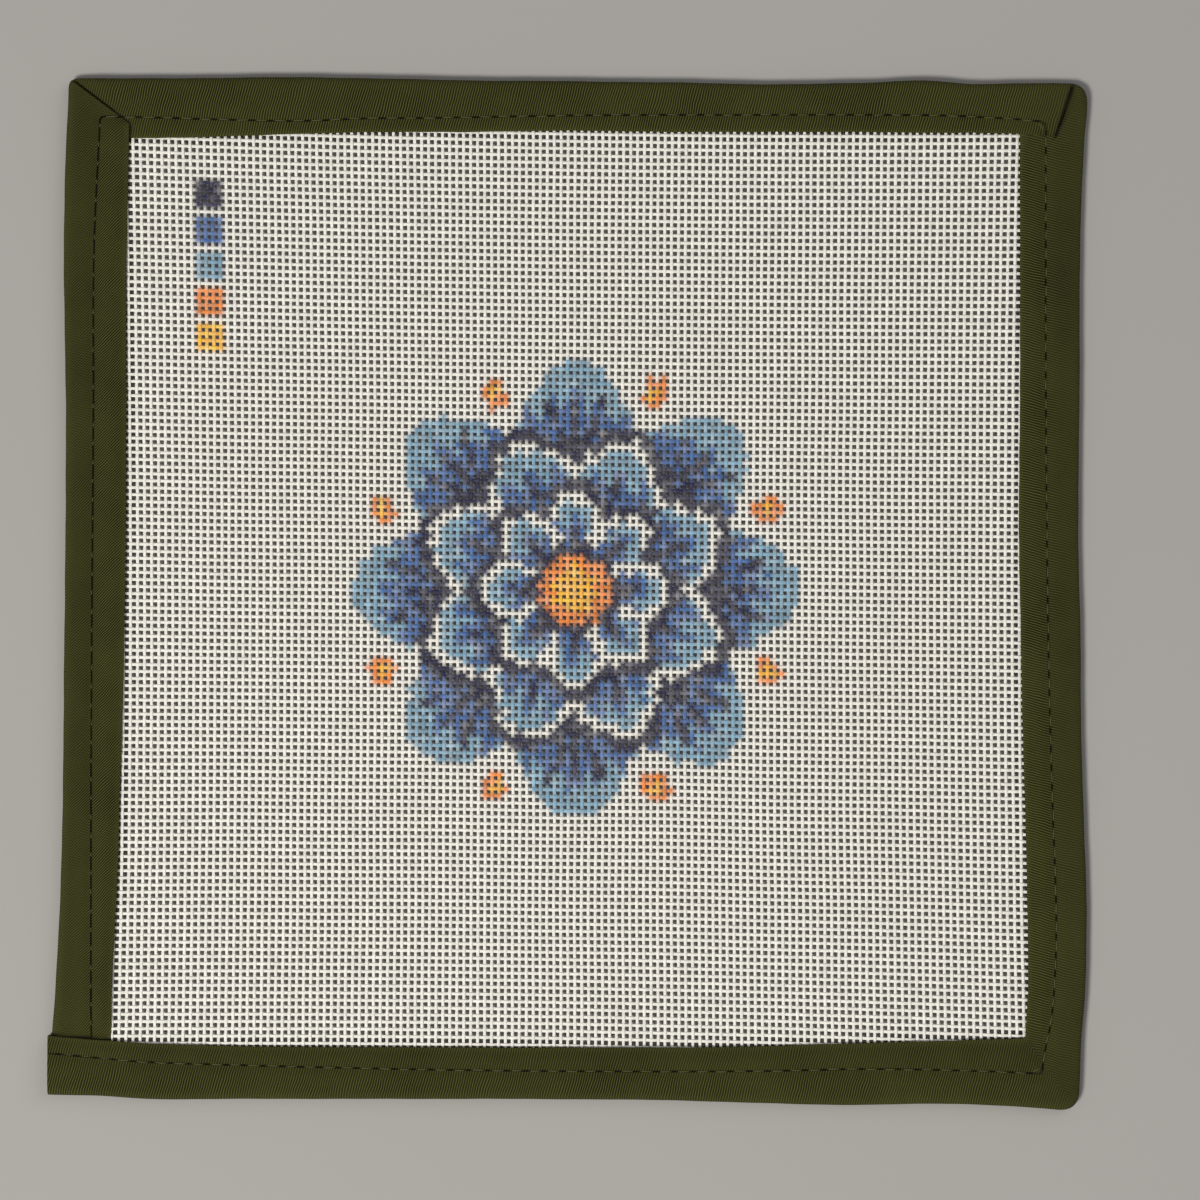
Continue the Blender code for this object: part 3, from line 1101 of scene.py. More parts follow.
@dataclass(frozen=True)
class Medallion:
    """A round flower of three rings of petals about a beaded centre, with buds between its outer petals."""

    centre: tuple[float, float] = (1.45, 0.7)
    rings: tuple[Ring, ...] = (
        Ring(8, 0.0, 22.6, 10.2, 8.7, 17.5, 27.5),
        Ring(8, 22.5, 13.9, 7.4, 6.3, 10.8, 17.6),
        Ring(8, 0.0, 8.4, 4.3, 3.5, 6.4, 9.8),
    )
    rim: float = 1.25
    shadow: float = 1.9
    eye: float = 5.2
    eye_shadow: float = 1.3
    seeds: float = 3.2
    bud_reach: float = 30.4
    bud: float = 2.3
    bud_heart: float = 0.45
    petal_taper: float = 0.22
    petal_gap: float = 0.75
    vein: float = 0.6
    side_veins: tuple[float, float] = (0.42, 0.55)
    ragged: float = 0.27
    key_place: tuple[float, float] = (-72.2, 79.8)
    key_size: int = 4
    key_step: int = 5

    def petal(self, ring: Ring, across: np.ndarray, up: np.ndarray) -> tuple[np.ndarray, ...]:
        """Places every crossing against the nearest petal of a ring.

        Args:
            ring: The ring.
            across: Each crossing's distance right of the flower's middle, in threads.
            up: Its distance above it.

        Returns:
            How far outside the petal's outline it lies in threads, less than 0 inside; how far out from the
            middle along the petal; and how far from the petal's own middle line.
        """
        turn = 2 * math.pi / ring.count
        angle = np.arctan2(up, across) - math.radians(ring.first)
        angle -= turn * np.round(angle / turn)
        distance = np.hypot(across, up)
        along, aside = distance * np.cos(angle), distance * np.sin(angle)
        reach = (along - ring.middle) / ring.half_length
        taper = 1.0 - self.petal_taper * np.clip(reach, -1.0, 1.0)
        outline = np.hypot(reach, aside / (ring.half_width * taper))
        return (outline - 1.0) * (ring.half_length + ring.half_width) / 2, along, aside

    def paint_ring(
        self, chart: np.ndarray, ring: Ring, across: np.ndarray, up: np.ndarray, outer: bool
    ) -> None:
        """Paints one ring of petals onto the chart: a dark shadow, a bare rim, and the shaded petal inside.

        Args:
            chart: The number of each crossing's paint, changed in place.
            ring: The ring.
            across: Each crossing's distance right of the middle, in threads.
            up: Its distance above it.
            outer: Whether it is the outermost ring, which has no shadow and no rim.
        """
        outside, along, aside = self.petal(ring, across, up)
        navy, denim, sky = (PAINTS.index(paint) for paint in (Paint.NAVY, Paint.DENIM, Paint.SKY))
        turn = math.pi / ring.count
        gap = np.abs(np.abs(aside) - along * math.tan(turn)) * math.cos(turn)
        within = along > 0
        if not outer:
            chart[within & (outside < self.rim + self.shadow)] = navy
            chart[within & (outside < self.rim)] = 0
        inside = within & (outside < 0.0)
        chart[inside] = denim
        streak = np.cos(aside * 1.75 + 0.4)
        tip_line = ring.tip + 1.5 * streak - 0.06 * aside**2
        chart[inside & (along > tip_line)] = sky
        root_line = ring.root + 1.6 * np.cos(aside * 1.3) - 0.10 * np.abs(aside) * ring.half_length / 4
        chart[inside & (along < root_line)] = navy
        vein = (np.abs(aside) < self.vein) & (along < ring.tip - 0.5)
        chart[inside & vein] = navy
        if outer:
            lean, half = self.side_veins
            feathered = (np.abs(np.abs(aside) - (along - ring.root) * lean) < half) & (along < ring.tip)
            chart[inside & feathered & (along > ring.root)] = navy
        chart[inside & (gap < self.petal_gap)] = 0

    def chart(self, across: np.ndarray, up: np.ndarray, pitch: tuple[float, float]) -> np.ndarray:
        """The paint on every crossing of the canvas.

        Args:
            across: Each crossing's X in millimetres.
            up: Each crossing's Y.
            pitch: The threads' spacing along X and Y.

        Returns:
            The number of each crossing's paint, 0 where it is bare.
        """
        draw = np.random.default_rng(7)
        right, above = (
            (place - middle) / step + self.ragged * draw.standard_normal(place.shape)
            for place, middle, step in zip((across, up), self.centre, pitch)
        )
        chart = np.zeros(right.shape, int)
        for number, ring in enumerate(self.rings):
            self.paint_ring(chart, ring, right, above, number == 0)
        navy, orange, yellow = (PAINTS.index(paint) for paint in (Paint.NAVY, Paint.ORANGE, Paint.YELLOW))
        distance = np.hypot(right, above)
        chart[distance < self.eye + self.eye_shadow] = navy
        chart[distance < self.eye] = orange
        chart[distance < self.seeds] = yellow
        turn = 2 * math.pi / self.rings[0].count
        angle = np.arctan2(above, right) - turn / 2
        angle -= turn * np.round(angle / turn)
        bud = np.hypot(distance * np.cos(angle) - self.bud_reach, distance * np.sin(angle) * 1.15)
        chart[(bud < self.bud) & (chart == 0)] = orange
        chart[bud < self.bud_heart * self.bud] = yellow
        off = np.hypot(across - self.key_place[0] + pitch[0] / 2, up - self.key_place[1] + pitch[1] / 2)
        column, row = np.unravel_index(off.argmin(), off.shape)
        for number, paint in enumerate(PAINTS[1:]):
            low = row - 1 - number * self.key_step
            chart[column - 1 : column - 1 + self.key_size, low : low + self.key_size] = PAINTS.index(paint)
        return chart


# --------------------------------------------------------------------------------------------------
# The canvas
# --------------------------------------------------------------------------------------------------


@dataclass(frozen=True)
class Canvas:
    """Plain-woven open canvas, thread by thread. Sizes in millimetres.

    Threads curve over and under each other where they are shown, between X and Y limits. Under the tape they
    lie straight, warp above weft by hidden_rise each, with one point for every hidden_step of a shown one's.
    """

    course: TapeCourse
    finish: CanvasFinish = CanvasFinish()
    design: Medallion = Medallion()
    inset: float = 2.0
    pitch: tuple[float, float] = (1.379, 1.403)
    slope: float = 0.0157
    spread: float = 0.0115
    spread_at: float = 90.3
    middle_height: float = 1.8
    half_width: float = 0.285
    paint_swell: float = 0.17
    half_height: float = 0.215
    crimp: float = 0.22
    shown: tuple[float, float, float, float] = (-93.0, 94.0, -92.5, 95.0)
    corners: int = 5
    hidden_step: int = 28
    easing: int = 4
    hidden_rise: float = 0.13
    flattening: float = 0.07
    thick_and_thin: tuple[float, float] = (0.05, 0.03)
    fewest_crossings: int = 6
    seeds: tuple[int, int] = (3000, 5000)
    parts: int = 3
    cover: float = 0.43

    def crossings(self) -> tuple[np.ndarray, np.ndarray, np.ndarray, np.ndarray]:
        """Where the threads cross.

        Returns:
            The columns' and rows' numbers, and each crossing's X and Y, columns first.
        """
        low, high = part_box("canvas")
        reach = 1.0 + self.spread * 1.3
        columns, rows = (
            np.arange(math.ceil(first / MM / reach / pitch), last / MM / reach / pitch)
            for first, last, pitch in zip((low.x, low.y), (high.x, high.y), self.pitch)
        )
        across = columns[:, None] * self.pitch[0] + 0.0 * rows[None, :]
        up = rows[None, :] * self.pitch[1] - self.slope * across
        swell = 1.0 + self.spread * (across**2 + up**2) / self.spread_at**2
        across, up = across * swell, up * swell
        for index in range(len(columns)):
            across[index] += 0.05 * wander(1000 + index, up[index], (5.0, 13.0, 31.0))
        for index in range(len(rows)):
            up[:, index] += 0.05 * wander(2000 + index, across[:, index], (5.0, 13.0, 31.0))
        across += 0.16 * wander(11, up, (38.0, 71.0)) * wander(12, across, (90.0, 150.0))
        up += 0.16 * wander(13, across, (38.0, 71.0)) * wander(14, up, (90.0, 150.0))
        return columns, rows, across, up

    def colours(self, chart: np.ndarray) -> np.ndarray:
        """The colour of every crossing and how much paint it has.

        Args:
            chart: The number of each crossing's paint.

        Returns:
            Red, green, blue and cover for each crossing.
        """
        draw = np.random.default_rng(21)
        palette = np.array([screen_colour(*paint.value) for paint in PAINTS])
        painted = (chart > 0).astype(float)
        tone = 1.0 + (0.035 + 0.085 * painted) * draw.standard_normal(chart.shape)
        cover = painted * np.clip(1.0 - 0.10 * np.abs(draw.standard_normal(chart.shape)), 0.55, 1.0)
        colour = palette[0] + (palette[chart] - palette[0]) * cover[..., None]
        return np.concatenate([np.clip(colour * tone[..., None], 0.0, 1.0), cover[..., None]], axis=-1)

    def thread(
        self, seed: int, line: np.ndarray, over: np.ndarray, colour: np.ndarray, lengthwise: bool
    ) -> Thread:
        """Builds one thread.

        Args:
            seed: Picks its small irregularities.
            line: The X and Y of its crossings, in order along it.
            over: At each crossing, 1 where it passes over and -1 where it passes under.
            colour: Its colour and cover at each crossing.
            lengthwise: Whether it runs up the canvas, and not across.

        Returns:
            The thread, with the colour of each of its points.
        """
        left, right, bottom, top = self.shown
        axis, low, high = (1, bottom, top) if lengthwise else (0, left, right)
        side_low, side_high = (left, right) if lengthwise else (bottom, top)
        side = np.median(line[:, 1 - axis])
        seen = (line[:, axis] > low) & (line[:, axis] < high) & (side_low < side < side_high)
        count = len(line)
        place = np.arange(0, count - 0.5, 0.5)
        both = np.interp(place, np.arange(count), seen.astype(float)) > 0.99
        keep = both | (np.arange(len(place)) % self.hidden_step == 0)
        keep[[0, -1]] = True
        if both.any():
            first, last = np.flatnonzero(both)[[0, -1]]
            keep[[max(first - self.easing, 0), min(last + self.easing, len(place) - 1)]] = True
        place = place[keep]
        seen_here = both[keep].astype(float)
        whole = np.arange(count)
        middle = np.stack([np.interp(place, whole, line[:, k]) for k in (0, 1)], axis=1)
        crimp = np.interp(place, whole, over * self.crimp) * seen_here
        rest = (self.hidden_rise if lengthwise else -self.hidden_rise) * (1.0 - seen_here)
        shade = np.stack([np.interp(place, whole, colour[:, k]) for k in range(4)], axis=1)
        heading = np.gradient(middle, axis=0)
        heading /= np.linalg.norm(heading, axis=1)[:, None]
        aside = np.stack([heading[:, 1], -heading[:, 0]], axis=1)
        travelled = np.concatenate([[0.0], np.cumsum(np.linalg.norm(np.diff(middle, axis=0), axis=1))])
        pressed = 1.0 + self.flattening * np.abs(crimp) / self.crimp
        slubs, drift = self.thick_and_thin
        uneven = 1.0 + slubs * wander(seed, travelled, (2.9, 7.0, 19.0))
        uneven = uneven + drift * wander(seed + 7, travelled, (90.0,))
        turns = 2 * math.pi * np.arange(self.corners) / self.corners
        swollen = 1.0 + self.paint_swell * shade[:, 3]
        out = self.half_width * (pressed * uneven * swollen)[:, None] * np.sin(turns)[None, :]
        rise = self.half_height * (uneven / pressed)[:, None] * np.cos(turns)[None, :]
        flat = middle[:, None, :] + aside[:, None, :] * out[..., None]
        height = self.middle_height + (crimp + rest)[:, None] + rise
        rings = np.concatenate([flat, height[..., None]], axis=-1)
        bare = np.array(screen_colour(*Paint.BARE.value))
        soaked = np.clip(0.90 + 0.35 * np.cos(turns), 0.55, 1.0)[None, :, None]
        tint = bare + (shade[:, None, :3] - bare) * np.where(shade[:, None, 3:] > 0, soaked, 1.0)
        cover = shade[:, None, 3:] * soaked
        return Thread(swept(rings, travelled), np.concatenate([tint, cover], axis=-1).reshape(-1, 4))

    def weave(
        self, name: str, threads: list[Thread], finish: bpy.types.Material
    ) -> None:
        """Makes one piece of the scene out of neighbouring threads.

        Args:
            name: The piece's name.
            threads: Its threads, in order.
            finish: Their material.
        """
        shape = joined([thread.shape for thread in threads])
        piece = mesh_piece(name, shape, finish)
        add_point_value(piece, "paint", np.concatenate([thread.colour for thread in threads]))
        dress(piece)
        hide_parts("canvas")

    def build(self) -> None:
        """Builds the canvas as three strips of lengthwise and three of crosswise threads."""
        columns, rows, across, up = self.crossings()
        colour = self.colours(self.design.chart(across, up, self.pitch))
        points = np.stack([across, up], axis=-1)
        over = np.where((columns[:, None] + rows[None, :]) % 2 == 0, 1.0, -1.0)
        finish = self.finish.build()
        warp_seed, weft_seed = self.seeds
        sets = (
            ("canvas_warp", True, points, over, colour, warp_seed),
            ("canvas_weft", False, points.transpose(1, 0, 2), -over.T, colour.transpose(1, 0, 2), weft_seed),
        )
        for name, lengthwise, lines, sides, shades, seed in sets:
            held = self.course.holds(lines, self.inset)
            kept = np.flatnonzero(held.sum(axis=1) >= self.fewest_crossings)
            groups = np.array_split(kept, self.parts)
            for number, group in enumerate(groups, start=1):
                threads = []
                for index in group:
                    on = held[index]
                    line, side, shade = lines[index][on], sides[index][on], shades[index][on]
                    threads.append(self.thread(seed + 10 * index, line, side, shade, lengthwise))
                piece_name = f"{name}_{number}"
                self.weave(piece_name, threads, finish)
                LOG.info("%s: %d threads", piece_name, len(threads))


# --------------------------------------------------------------------------------------------------
# The binding and its stitching
# --------------------------------------------------------------------------------------------------


@dataclass(frozen=True)
class Seam:
    """One row of machine stitching through both legs of the tape, in millimetres.

    A stitch that is fully sunk starts and ends by the share tucked inside its two holes. It leans by up to
    slant, and slack is how unevenly thick the stitches are.
    """

    line: np.ndarray
    runs: tuple[Run, ...]
    finish: StitchFinish = StitchFinish()
    pitch: float = 3.75
    first: float = 0.9
    unevenness: float = 0.16
    half_thickness: float = 0.16
    crown: float = 0.10
    depth: float = 0.50
    tucked: float = 0.42
    arching: float = 0.45
    slant: float = 0.10
    slack: float = 0.08
    rings: int = 6
    corners: int = 5
    bake_columns: int = 12

    def holes(self) -> np.ndarray:
        """How far along the line each needle hole lies, with one more before its start and after its end."""
        draw = np.random.default_rng(5)
        at = np.arange(self.first - self.pitch, len(self.line) * SEAM_STEP + self.pitch, self.pitch)
        return at + draw.uniform(-self.unevenness, self.unevenness, len(at))

    def headings(self) -> np.ndarray:
        """The way that the line goes at each of its points."""
        ahead = np.gradient(self.line, axis=0)
        return ahead / np.linalg.norm(ahead, axis=1)[:, None]

    def sunk(self, heading: np.ndarray) -> float:
        """The share of a stitch that is drawn down, on the run that goes this way."""
        return max(self.runs, key=lambda run: float(np.dot(run.heading, heading))).sunk

    def locate(self, points: np.ndarray) -> tuple[np.ndarray, np.ndarray]:
        """Places points against the seam, seen from above.

        Args:
            points: Their X and Y.

        Returns:
            How far right of the line each lies, less than 0 on its left; and its place along it, in stitches.
        """
        tree = KDTree(len(self.line))
        for index, (x, y) in enumerate(self.line):
            tree.insert((x, y, 0.0), index)
        tree.balance()
        index = np.array([tree.find((x, y, 0.0))[1] for x, y in points])
        away, heading = points - self.line[index], self.headings()[index]
        along = index * SEAM_STEP + (away * heading).sum(axis=1)
        holes = self.holes()
        aside = away[:, 0] * heading[:, 1] - away[:, 1] * heading[:, 0]
        return aside, np.interp(along, holes, np.arange(len(holes)))

    def build(self, surface: float, middle: float) -> None:
        """Makes the stitches on both faces.

        Args:
            surface: How far the tape's face lies from the panel's middle plane along the seam.
            middle: The height of that plane.
        """
        draw = np.random.default_rng(9)
        at = self.holes()[1:-1] / SEAM_STEP
        at = at[at < len(self.line) - 1]
        numbers = np.arange(len(self.line))
        holes = np.stack([np.interp(at, numbers, self.line[:, axis]) for axis in (0, 1)], axis=1)
        shares = np.linspace(0.0, 1.0, self.rings)
        turns = 2 * math.pi * np.arange(self.corners) / self.corners
        shapes = []
        for start, end in zip(holes[:-1], holes[1:]):
            span = end - start
            length = float(np.linalg.norm(span))
            heading = span / length
            aside = np.array([heading[1], -heading[0]])
            sunk = self.sunk(heading)
            for side in (1.0, -1.0):
                drift = draw.uniform(-self.slant, self.slant, 2)
                at_share = self.tucked * sunk + shares * (1.0 - 2 * self.tucked * sunk)
                lean = drift[0] + (drift[1] - drift[0]) * shares
                arch = np.sin(math.pi * shares) ** self.arching
                height = surface + self.crown - self.depth * (1.0 - arch)
                thick = self.half_thickness * (0.75 + 0.25 * arch)
                thick = thick * draw.uniform(1.0 - self.slack, 1.0 + self.slack)
                flat = start + at_share[:, None] * span + lean[:, None] * aside
                around = flat[:, None, :] + (thick[:, None] * np.sin(turns) * side)[..., None] * aside
                up = middle + side * (height[:, None] + thick[:, None] * np.cos(turns))
                rings = np.concatenate([around, up[..., None]], axis=-1)
                shapes.append(swept(rings, shares * length))
        piece = mesh_piece("binding_stitches", joined(shapes, columns=self.bake_columns), self.finish.build())
        dress(piece)
        LOG.info("%s: %d stitches a face", piece.name, len(shapes) // 2)


class SeamPlace(NamedTuple):
    """How far right of the seam points lie, how many stitches along it, and how much of each is sunk."""

    offset: np.ndarray
    stitch: np.ndarray
    sunk: np.ndarray


@dataclass(frozen=True)
class Binding:
    """The tape: one strip of twill with both edges turned in, folded over the canvas edge.

    Sizes are in millimetres. Heights in its section are measured from the panel's middle plane. Each raw edge
    is turned in by as much as turned says. run_gap keeps the runs apart on the flat cloth's map.
    """

    course: TapeCourse
    seam: Seam
    finish: TapeFinish = TapeFinish()
    middle: float = 1.8
    width: float = 12.6
    face: float = 1.70
    cloth: float = 0.36
    turned: float = 5.5
    lip: float = 2.6
    turned_face: float = 0.82
    fold_depth: float = 1.9
    edge_droop: float = 0.32
    droop_reach: float = 3.4
    trough: float = 0.19
    trough_reach: float = 1.25
    dimple: float = 0.16
    dimple_reach: float = 0.62
    pucker: float = 0.022
    lowest: float = 0.02
    shade_reach: float = 0.34
    blend_steps: int = 39
    # How much the free edge, the fold and a crease's raised lip are lightened: paler abraded cloth with painted
    # highlight.
    edge_abrasion_and_highlight: float = 0.55
    fold_abrasion_and_highlight: float = 0.6
    crease_abrasion_and_highlight: float = 0.5
    run_gap: float = 260.0
    flat: tuple[float, float] = (0.042, 0.83)
    bake_rows: int = 8

    @property
    def seam_height(self) -> float:
        """How far the tape's face lies from the middle plane along the seam."""
        return self.face * (1.0 - self.trough) * 0.97

    def arc(self, centre: tuple[float, float], reach: tuple[float, float], turns: np.ndarray) -> list[tuple]:
        """Points on part of an oval, in distance from the fold and height."""
        return [
            (centre[0] + reach[0] * math.cos(turn), centre[1] + reach[1] * math.sin(turn)) for turn in turns
        ]

    def section(self) -> tuple[np.ndarray, np.ndarray]:
        """The closed outline of the folded cloth, cut across.

        Returns:
            Each corner's distance from the fold and height; and how far along the cloth it lies beyond its
            plain distance from the free edge.
        """
        edge = (self.face - self.turned_face) / 2
        centre = (self.face + self.turned_face) / 2
        bend = self.width - edge
        quarter = math.pi / 2
        top = np.linspace(bend, self.fold_depth, 14)[1:-1]
        fold, full = (self.fold_depth, 0.0), (self.fold_depth, self.face)
        outer = [(self.width - self.turned, self.turned_face), (self.width - self.lip, self.turned_face)]
        outer += self.arc((bend, centre), (edge, edge), np.linspace(-quarter, quarter, 6))
        outer += [(place, self.face) for place in top]
        outer += self.arc(fold, full, np.linspace(quarter, 3 * quarter, 10))
        outer += [(place, -self.face) for place in top[::-1]]
        outer += self.arc((bend, -centre), (edge, edge), np.linspace(-quarter, quarter, 6))
        outer += [(self.width - self.lip, -self.turned_face), (self.width - self.turned, -self.turned_face)]
        thin = edge - self.cloth
        within = self.fold_depth - self.cloth
        lower = self.face - self.cloth
        few = np.linspace(bend, self.fold_depth, 5)[1:-1]
        raised = self.turned_face + self.cloth
        inner = [(self.width - self.turned, -raised)]
        inner += self.arc((bend, -centre), (thin, thin), np.linspace(quarter, -quarter, 3))
        inner += [(place, -lower) for place in few]
        inner += self.arc(fold, (within, lower), np.linspace(3 * quarter, quarter, 5))
        inner += [(place, lower) for place in few[::-1]]
        inner += self.arc((bend, centre), (thin, thin), np.linspace(quarter, -quarter, 3))
        inner += [(self.width - self.turned, raised)]
        outline = np.array(outer)
        steps = np.concatenate([[0.0], np.cumsum(np.linalg.norm(np.diff(outline, axis=0), axis=1))])
        free_edge = steps[5]
        beyond = np.concatenate([steps - free_edge, np.zeros(len(inner))])
        ring = np.array(outer + inner)
        plain = self.width - ring[:, 0]
        return ring[::-1], (beyond - plain)[::-1]

    def lay(self, stations: list[Station], ring: np.ndarray) -> np.ndarray:
        """Lays the section on every station, seen from above.

        Args:
            stations: The places along the tape.
            ring: The section.

        Returns:
            X and Y of every corner, stations x corners x 2.
        """
        folds = np.array([station.fold for station in stations])
        elbows = np.array([station.elbow for station in stations])
        edges = np.array([station.edge for station in stations])
        near, far = elbows - folds, edges - elbows
        near_length = np.linalg.norm(near, axis=1)[:, None]
        far_length = np.linalg.norm(far, axis=1)[:, None]
        reach = ring[:, 0] / self.width * (near_length + far_length)
        before = folds[:, None] + (near / near_length)[:, None] * reach[..., None]
        past = elbows[:, None] + (far / far_length)[:, None] * (reach - near_length)[..., None]
        flat = np.where((reach < near_length)[..., None], before, past)
        inward = near / near_length
        travel = np.stack([-inward[:, 1], inward[:, 0]], axis=1)
        shift = np.array([station.shift for station in stations])[:, None]
        shift = shift * self.crease_share(stations, ring)
        return flat + travel[:, None] * shift[..., None]

    def crease_share(self, stations: list[Station], ring: np.ndarray) -> np.ndarray:
        """How strong the corner's crease is at every corner of every section, from 0 to 1."""
        across = ring[:, 0] / self.width
        shares = {None: np.ones(len(ring))}
        for station in stations:
            if station.crease not in shares:
                shares[station.crease] = 1.0 - smooth_step(*station.crease.fade, across)
        return np.array([shares[station.crease] for station in stations])

    def heights(self, stations: list[Station], ring: np.ndarray, place: SeamPlace) -> np.ndarray:
        """Raises, presses and quilts the tape.

        Args:
            stations: The places along the tape.
            ring: The section.
            place: Where every corner of every section lies against the seam.

        Returns:
            The height of every corner.
        """
        lift = np.array([station.lift for station in stations])[:, None]
        lift = 1.0 + (lift - 1.0) * self.crease_share(stations, ring)
        from_edge = self.width - ring[:, 0]
        droop = self.edge_droop * (1.0 - smooth_step(0.0, self.droop_reach, from_edge))[None, :]
        trough = self.trough * np.exp(-((place.offset / self.trough_reach) ** 2))
        from_hole = np.abs(place.stitch - np.round(place.stitch)) / (0.5 * place.sunk + 0.06)
        hole = np.exp(-((place.offset / self.dimple_reach) ** 2) - from_hole**4)
        gaps = [np.linalg.norm(after.fold - before.fold) for before, after in zip(stations, stations[1:])]
        travelled = np.cumsum([0.0] + gaps)
        waves = wander(60, travelled, (11.0, 17.0, 29.0))[:, None] * np.sin(ring[:, 0] * 0.55 + 0.6)[None, :]
        drag = wander(61, travelled, (4.4, 6.1))[:, None] * np.exp(-((place.offset / 2.6) ** 2))
        press = 1.0 - droop - trough - self.dimple * hole + self.pucker * (waves + drag)
        upper = (ring[:, 1] > 0.0)[None, :]
        height = self.middle + ring[:, 1][None, :] * press * np.where(upper, lift, np.minimum(lift, 1.0))
        return np.maximum(height, self.lowest)

    def line_shade(self, stations: list[Station], flat: np.ndarray) -> np.ndarray:
        """How deep each corner of each section lies in the dark beside a lap or a crease, from 0 to 1."""
        run = np.array([station.run for station in stations])
        shade = np.zeros(flat.shape[:2])
        for runs, line in self.course.dark_lines():
            near = np.minimum(1.4 * np.exp(-((line_distance(flat, line) / self.shade_reach) ** 2)), 1.0)
            shade = np.maximum(shade, near * np.isin(run, runs)[:, None])
        return shade

    def dress_points(
        self,
        piece: bpy.types.Object,
        stations: list[Station],
        ring: np.ndarray,
        flat: np.ndarray,
        place: SeamPlace,
    ) -> None:
        """Gives the tape's points what its finish reads.

        Args:
            piece: The tape.
            stations: The places along it.
            ring: Its section.
            flat: X and Y of every corner of every section.
            place: Where those lie against the seam.
        """
        count, corners = len(stations), len(ring)
        across = ring[:, 0] / self.width
        runs = [self.course.runs[station.run] for station in stations]
        kernel = np.hanning(self.blend_steps + 2)[1:-1]
        kernel = kernel / kernel.sum()
        near_edge = smooth_step(0.35, 0.65, across)
        looks = []
        for look in ([run.ribbed for run in runs], [run.clear for run in runs]):
            fold, edge = (
                np.convolve(np.pad(side, self.blend_steps // 2, "edge"), kernel, "valid")
                for side in zip(*look)
            )
            looks.append(fold[:, None] + (edge - fold)[:, None] * near_edge)
        breaks = np.flatnonzero(np.diff([station.run for station in stations]))
        from_corner = np.abs(np.arange(count)[:, None] - breaks[None, :]).min(axis=1) * self.course.spacing
        # Painted light on the ribs: how strongly each run's ribs show their painted highlight and shade, weaker
        # near the corners.
        clear = looks[1] * (0.55 + 0.45 * smooth_step(2.0, 14.0, from_corner)[:, None])
        on_face = np.abs(ring[:, 1]) > self.turned_face + self.cloth
        # Paler abraded cloth and painted highlight along the free edge, the fold and each crease's raised lip.
        edge_abrasion_and_highlight = self.edge_abrasion_and_highlight * np.exp(-(((self.width - ring[:, 0]) / 0.5) ** 2)) * on_face
        fold_abrasion_and_highlight = self.fold_abrasion_and_highlight * np.exp(-((ring[:, 0] / 1.1) ** 2))
        share = self.crease_share(stations, ring)
        shift = np.array([station.shift for station in stations])
        over = (shift > 0)[:, None] * share
        # Painted shade on the tucked layer and beside laps and creases.
        under = np.maximum((shift < 0)[:, None] * share, self.line_shade(stations, flat))
        abrasion_and_highlight = np.maximum(np.maximum(edge_abrasion_and_highlight, fold_abrasion_and_highlight)[None, :], self.crease_abrasion_and_highlight * over)
        values = {
            "rib_family": looks[0],
            "rib_painted_light": clear,
            "abraded_and_lit": abrasion_and_highlight,
            "shaded": under,
            "seam_offset": place.offset,
            "seam_stitch": place.stitch,
            "seam_sunk": place.sunk,
        }
        for name, numbers in values.items():
            add_point_value(piece, name, np.broadcast_to(numbers, (count, corners)).reshape(-1))

    def unroll(self, stations: list[Station], flat: np.ndarray, beyond: np.ndarray, shape: Shape) -> tuple:
        """Lays the cloth out flat for its ribs, run by run, and for its bake, in rows.

        Args:
            stations: The places along the tape.
            flat: X and Y of every corner.
            beyond: What the folds add to the distance across the cloth.
            shape: The tape's mesh.

        Returns:
            The two maps, each with two numbers for every face corner.
        """
        count, corners = flat.shape[:2]
        faces = np.concatenate([np.repeat(np.arange(count - 1), corners * 4), np.zeros(corners, int)])
        faces = np.concatenate([faces, np.full(corners, count - 2)])
        points = np.concatenate([shape.quads.reshape(-1), *shape.caps])
        run = np.array([station.run for station in stations])[faces + 1]
        heading = np.array([side.heading for side in self.course.runs])[run]
        outward = np.array([side.outward for side in self.course.runs])[run]
        place = flat.reshape(-1, 2)[points]
        along = (place * heading).sum(axis=1)
        across = (place * outward).sum(axis=1) - beyond[points % corners]
        cloth = np.stack([along + self.run_gap * run, across], axis=1)
        per_row = math.ceil((count - 1) / self.bake_rows)
        row = faces // per_row
        at = np.clip((points // corners - row * per_row) / per_row, 0.0, 1.0)
        bake = np.stack([0.01 + 0.98 * at, (row + 0.02 + 0.96 * shape.uv[:, 1]) / self.bake_rows], axis=1)
        return cloth, bake

    def build(self) -> None:
        """Builds the tape and its stitching."""
        stations = self.course.stations()
        ring, beyond = self.section()
        flat = self.lay(stations, ring)
        offset, stitch = (values.reshape(flat.shape[:2]) for values in self.seam.locate(flat.reshape(-1, 2)))
        sunk = np.array([self.course.runs[station.run].sunk for station in stations])[:, None]
        along = np.linspace(0.0, 1.0, len(stations))[:, None]
        own = np.abs(stitch / stitch.max() - along) < 0.5
        place = SeamPlace(np.where(own, offset, 2 * self.width), stitch, sunk)
        rings = np.concatenate([flat, self.heights(stations, ring, place)[..., None]], axis=-1)
        shape = swept(rings, np.arange(len(stations)) * self.course.spacing)
        piece = mesh_piece("binding_tape", shape, self.finish.build())
        cloth, bake = self.unroll(stations, flat, beyond, shape)
        add_uv(piece, "Tape", cloth)
        add_uv(piece, "OFBake", bake)
        self.dress_points(piece, stations, ring, flat, place)
        dress(piece)
        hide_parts("binding")
        LOG.info("%s: %d sections", piece.name, len(stations))
        self.seam.build(self.seam_height, self.middle)


# --------------------------------------------------------------------------------------------------
# The studio
# --------------------------------------------------------------------------------------------------


class Softbox(NamedTuple):
    """One soft lamp: where it stands, how wide it is, how strong and what colour."""

    name: str
    place: tuple[float, float, float]
    size: float
    watts: float
    colour: Colour


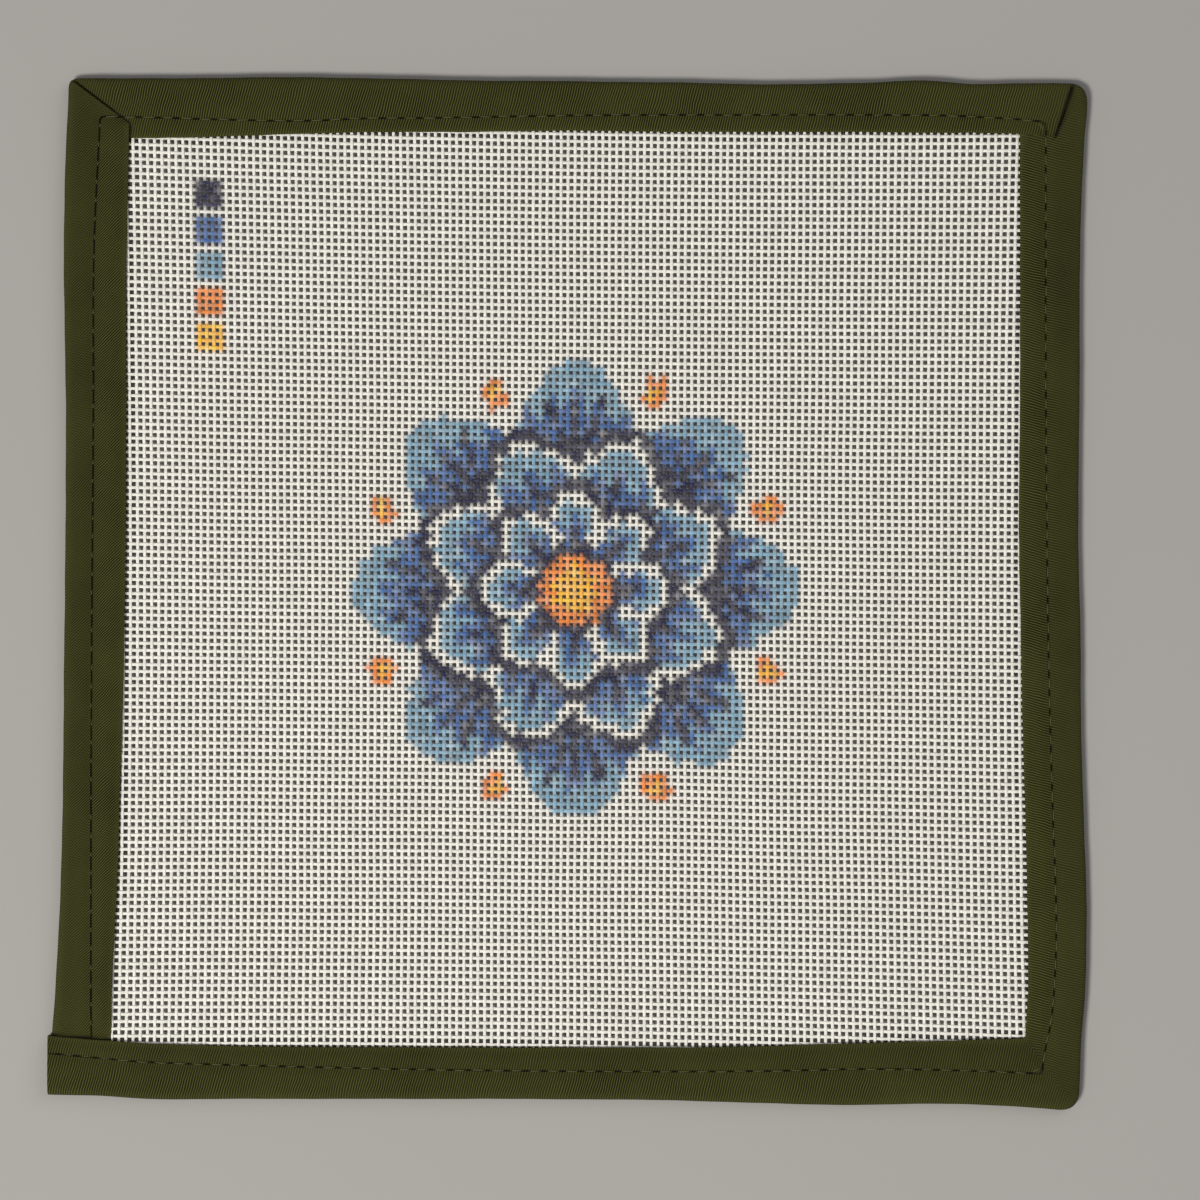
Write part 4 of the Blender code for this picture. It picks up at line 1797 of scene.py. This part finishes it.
@dataclass(frozen=True)
class Studio:
    """A pale floor, soft lamps and a camera straight above. Sizes in metres."""

    floor: FloorFinish = FloorFinish()
    floor_size: float = 6.0
    lamps: tuple[Softbox, ...] = (
        Softbox("key_lamp", (-0.56, -0.56, 1.27), 0.40, 19.0, (1.0, 0.985, 0.96)),
        Softbox("fill_lamp", (0.95, 0.70, 1.10), 1.2, 5.0, (0.96, 0.98, 1.0)),
    )
    ambient: Colour = (0.86, 0.88, 0.92)
    ambient_strength: float = 0.28
    view_centre: tuple[float, float] = (6.47 * MM, -1.3 * MM)
    view_width: float = 240.84 * MM
    camera_height: float = 0.9
    focus_height: float = 2.2 * MM
    sensor: float = 36.0

    def lay_floor(self) -> None:
        """Lays the floor that the panel rests on."""
        bpy.ops.object.select_all(action="DESELECT")
        bpy.ops.mesh.primitive_plane_add(size=self.floor_size, location=(0.0, 0.0, 0.0))
        floor = bpy.context.object
        floor.name = "pale_floor"
        floor.data.materials.append(self.floor.build())

    def light(self) -> None:
        """Hangs the lamps, each turned to the panel, and sets the soft light all round."""
        for lamp in self.lamps:
            bpy.ops.object.light_add(type="AREA", location=lamp.place)
            made = bpy.context.object
            made.name = lamp.name
            made.data.shape = "DISK"
            made.data.size = lamp.size
            made.data.energy = lamp.watts
            made.data.color = lamp.colour
            made.rotation_euler = (-made.location).to_track_quat("-Z", "Y").to_euler()
        world = bpy.context.scene.world or bpy.data.worlds.new("studio")
        bpy.context.scene.world = world
        world.use_nodes = True
        shade = world.node_tree.nodes["Background"]
        shade.inputs["Color"].default_value = (*self.ambient, 1.0)
        shade.inputs["Strength"].default_value = self.ambient_strength

    def aim_camera(self) -> None:
        """Sets the camera straight above the panel."""
        x, y = self.view_centre
        bpy.ops.object.camera_add(location=(x, y, self.camera_height), rotation=(0.0, 0.0, 0.0))
        camera = bpy.context.object
        camera.name = "camera"
        camera.data.sensor_width = self.sensor
        camera.data.lens = self.sensor * (self.camera_height - self.focus_height) / self.view_width
        camera.data.clip_start = 0.01
        bpy.context.scene.camera = camera

    def build(self) -> None:
        """Sets up the whole studio."""
        self.lay_floor()
        self.light()
        self.aim_camera()
        bpy.context.scene.view_settings.view_transform = "Standard"
        LOG.info("studio: %d lamps", len(self.lamps))


def write_sizes() -> None:
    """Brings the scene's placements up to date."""
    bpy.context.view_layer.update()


def main() -> None:
    """Builds the studio, the canvas and the binding, in that order."""
    logging.basicConfig(level=logging.INFO, format="%(name)s %(message)s")
    Studio().build()
    course = TapeCourse()
    Canvas(course).build()
    Binding(course, Seam(course.stitch_line(), course.runs)).build()
    write_sizes()


if __name__ == "__main__":
    main()
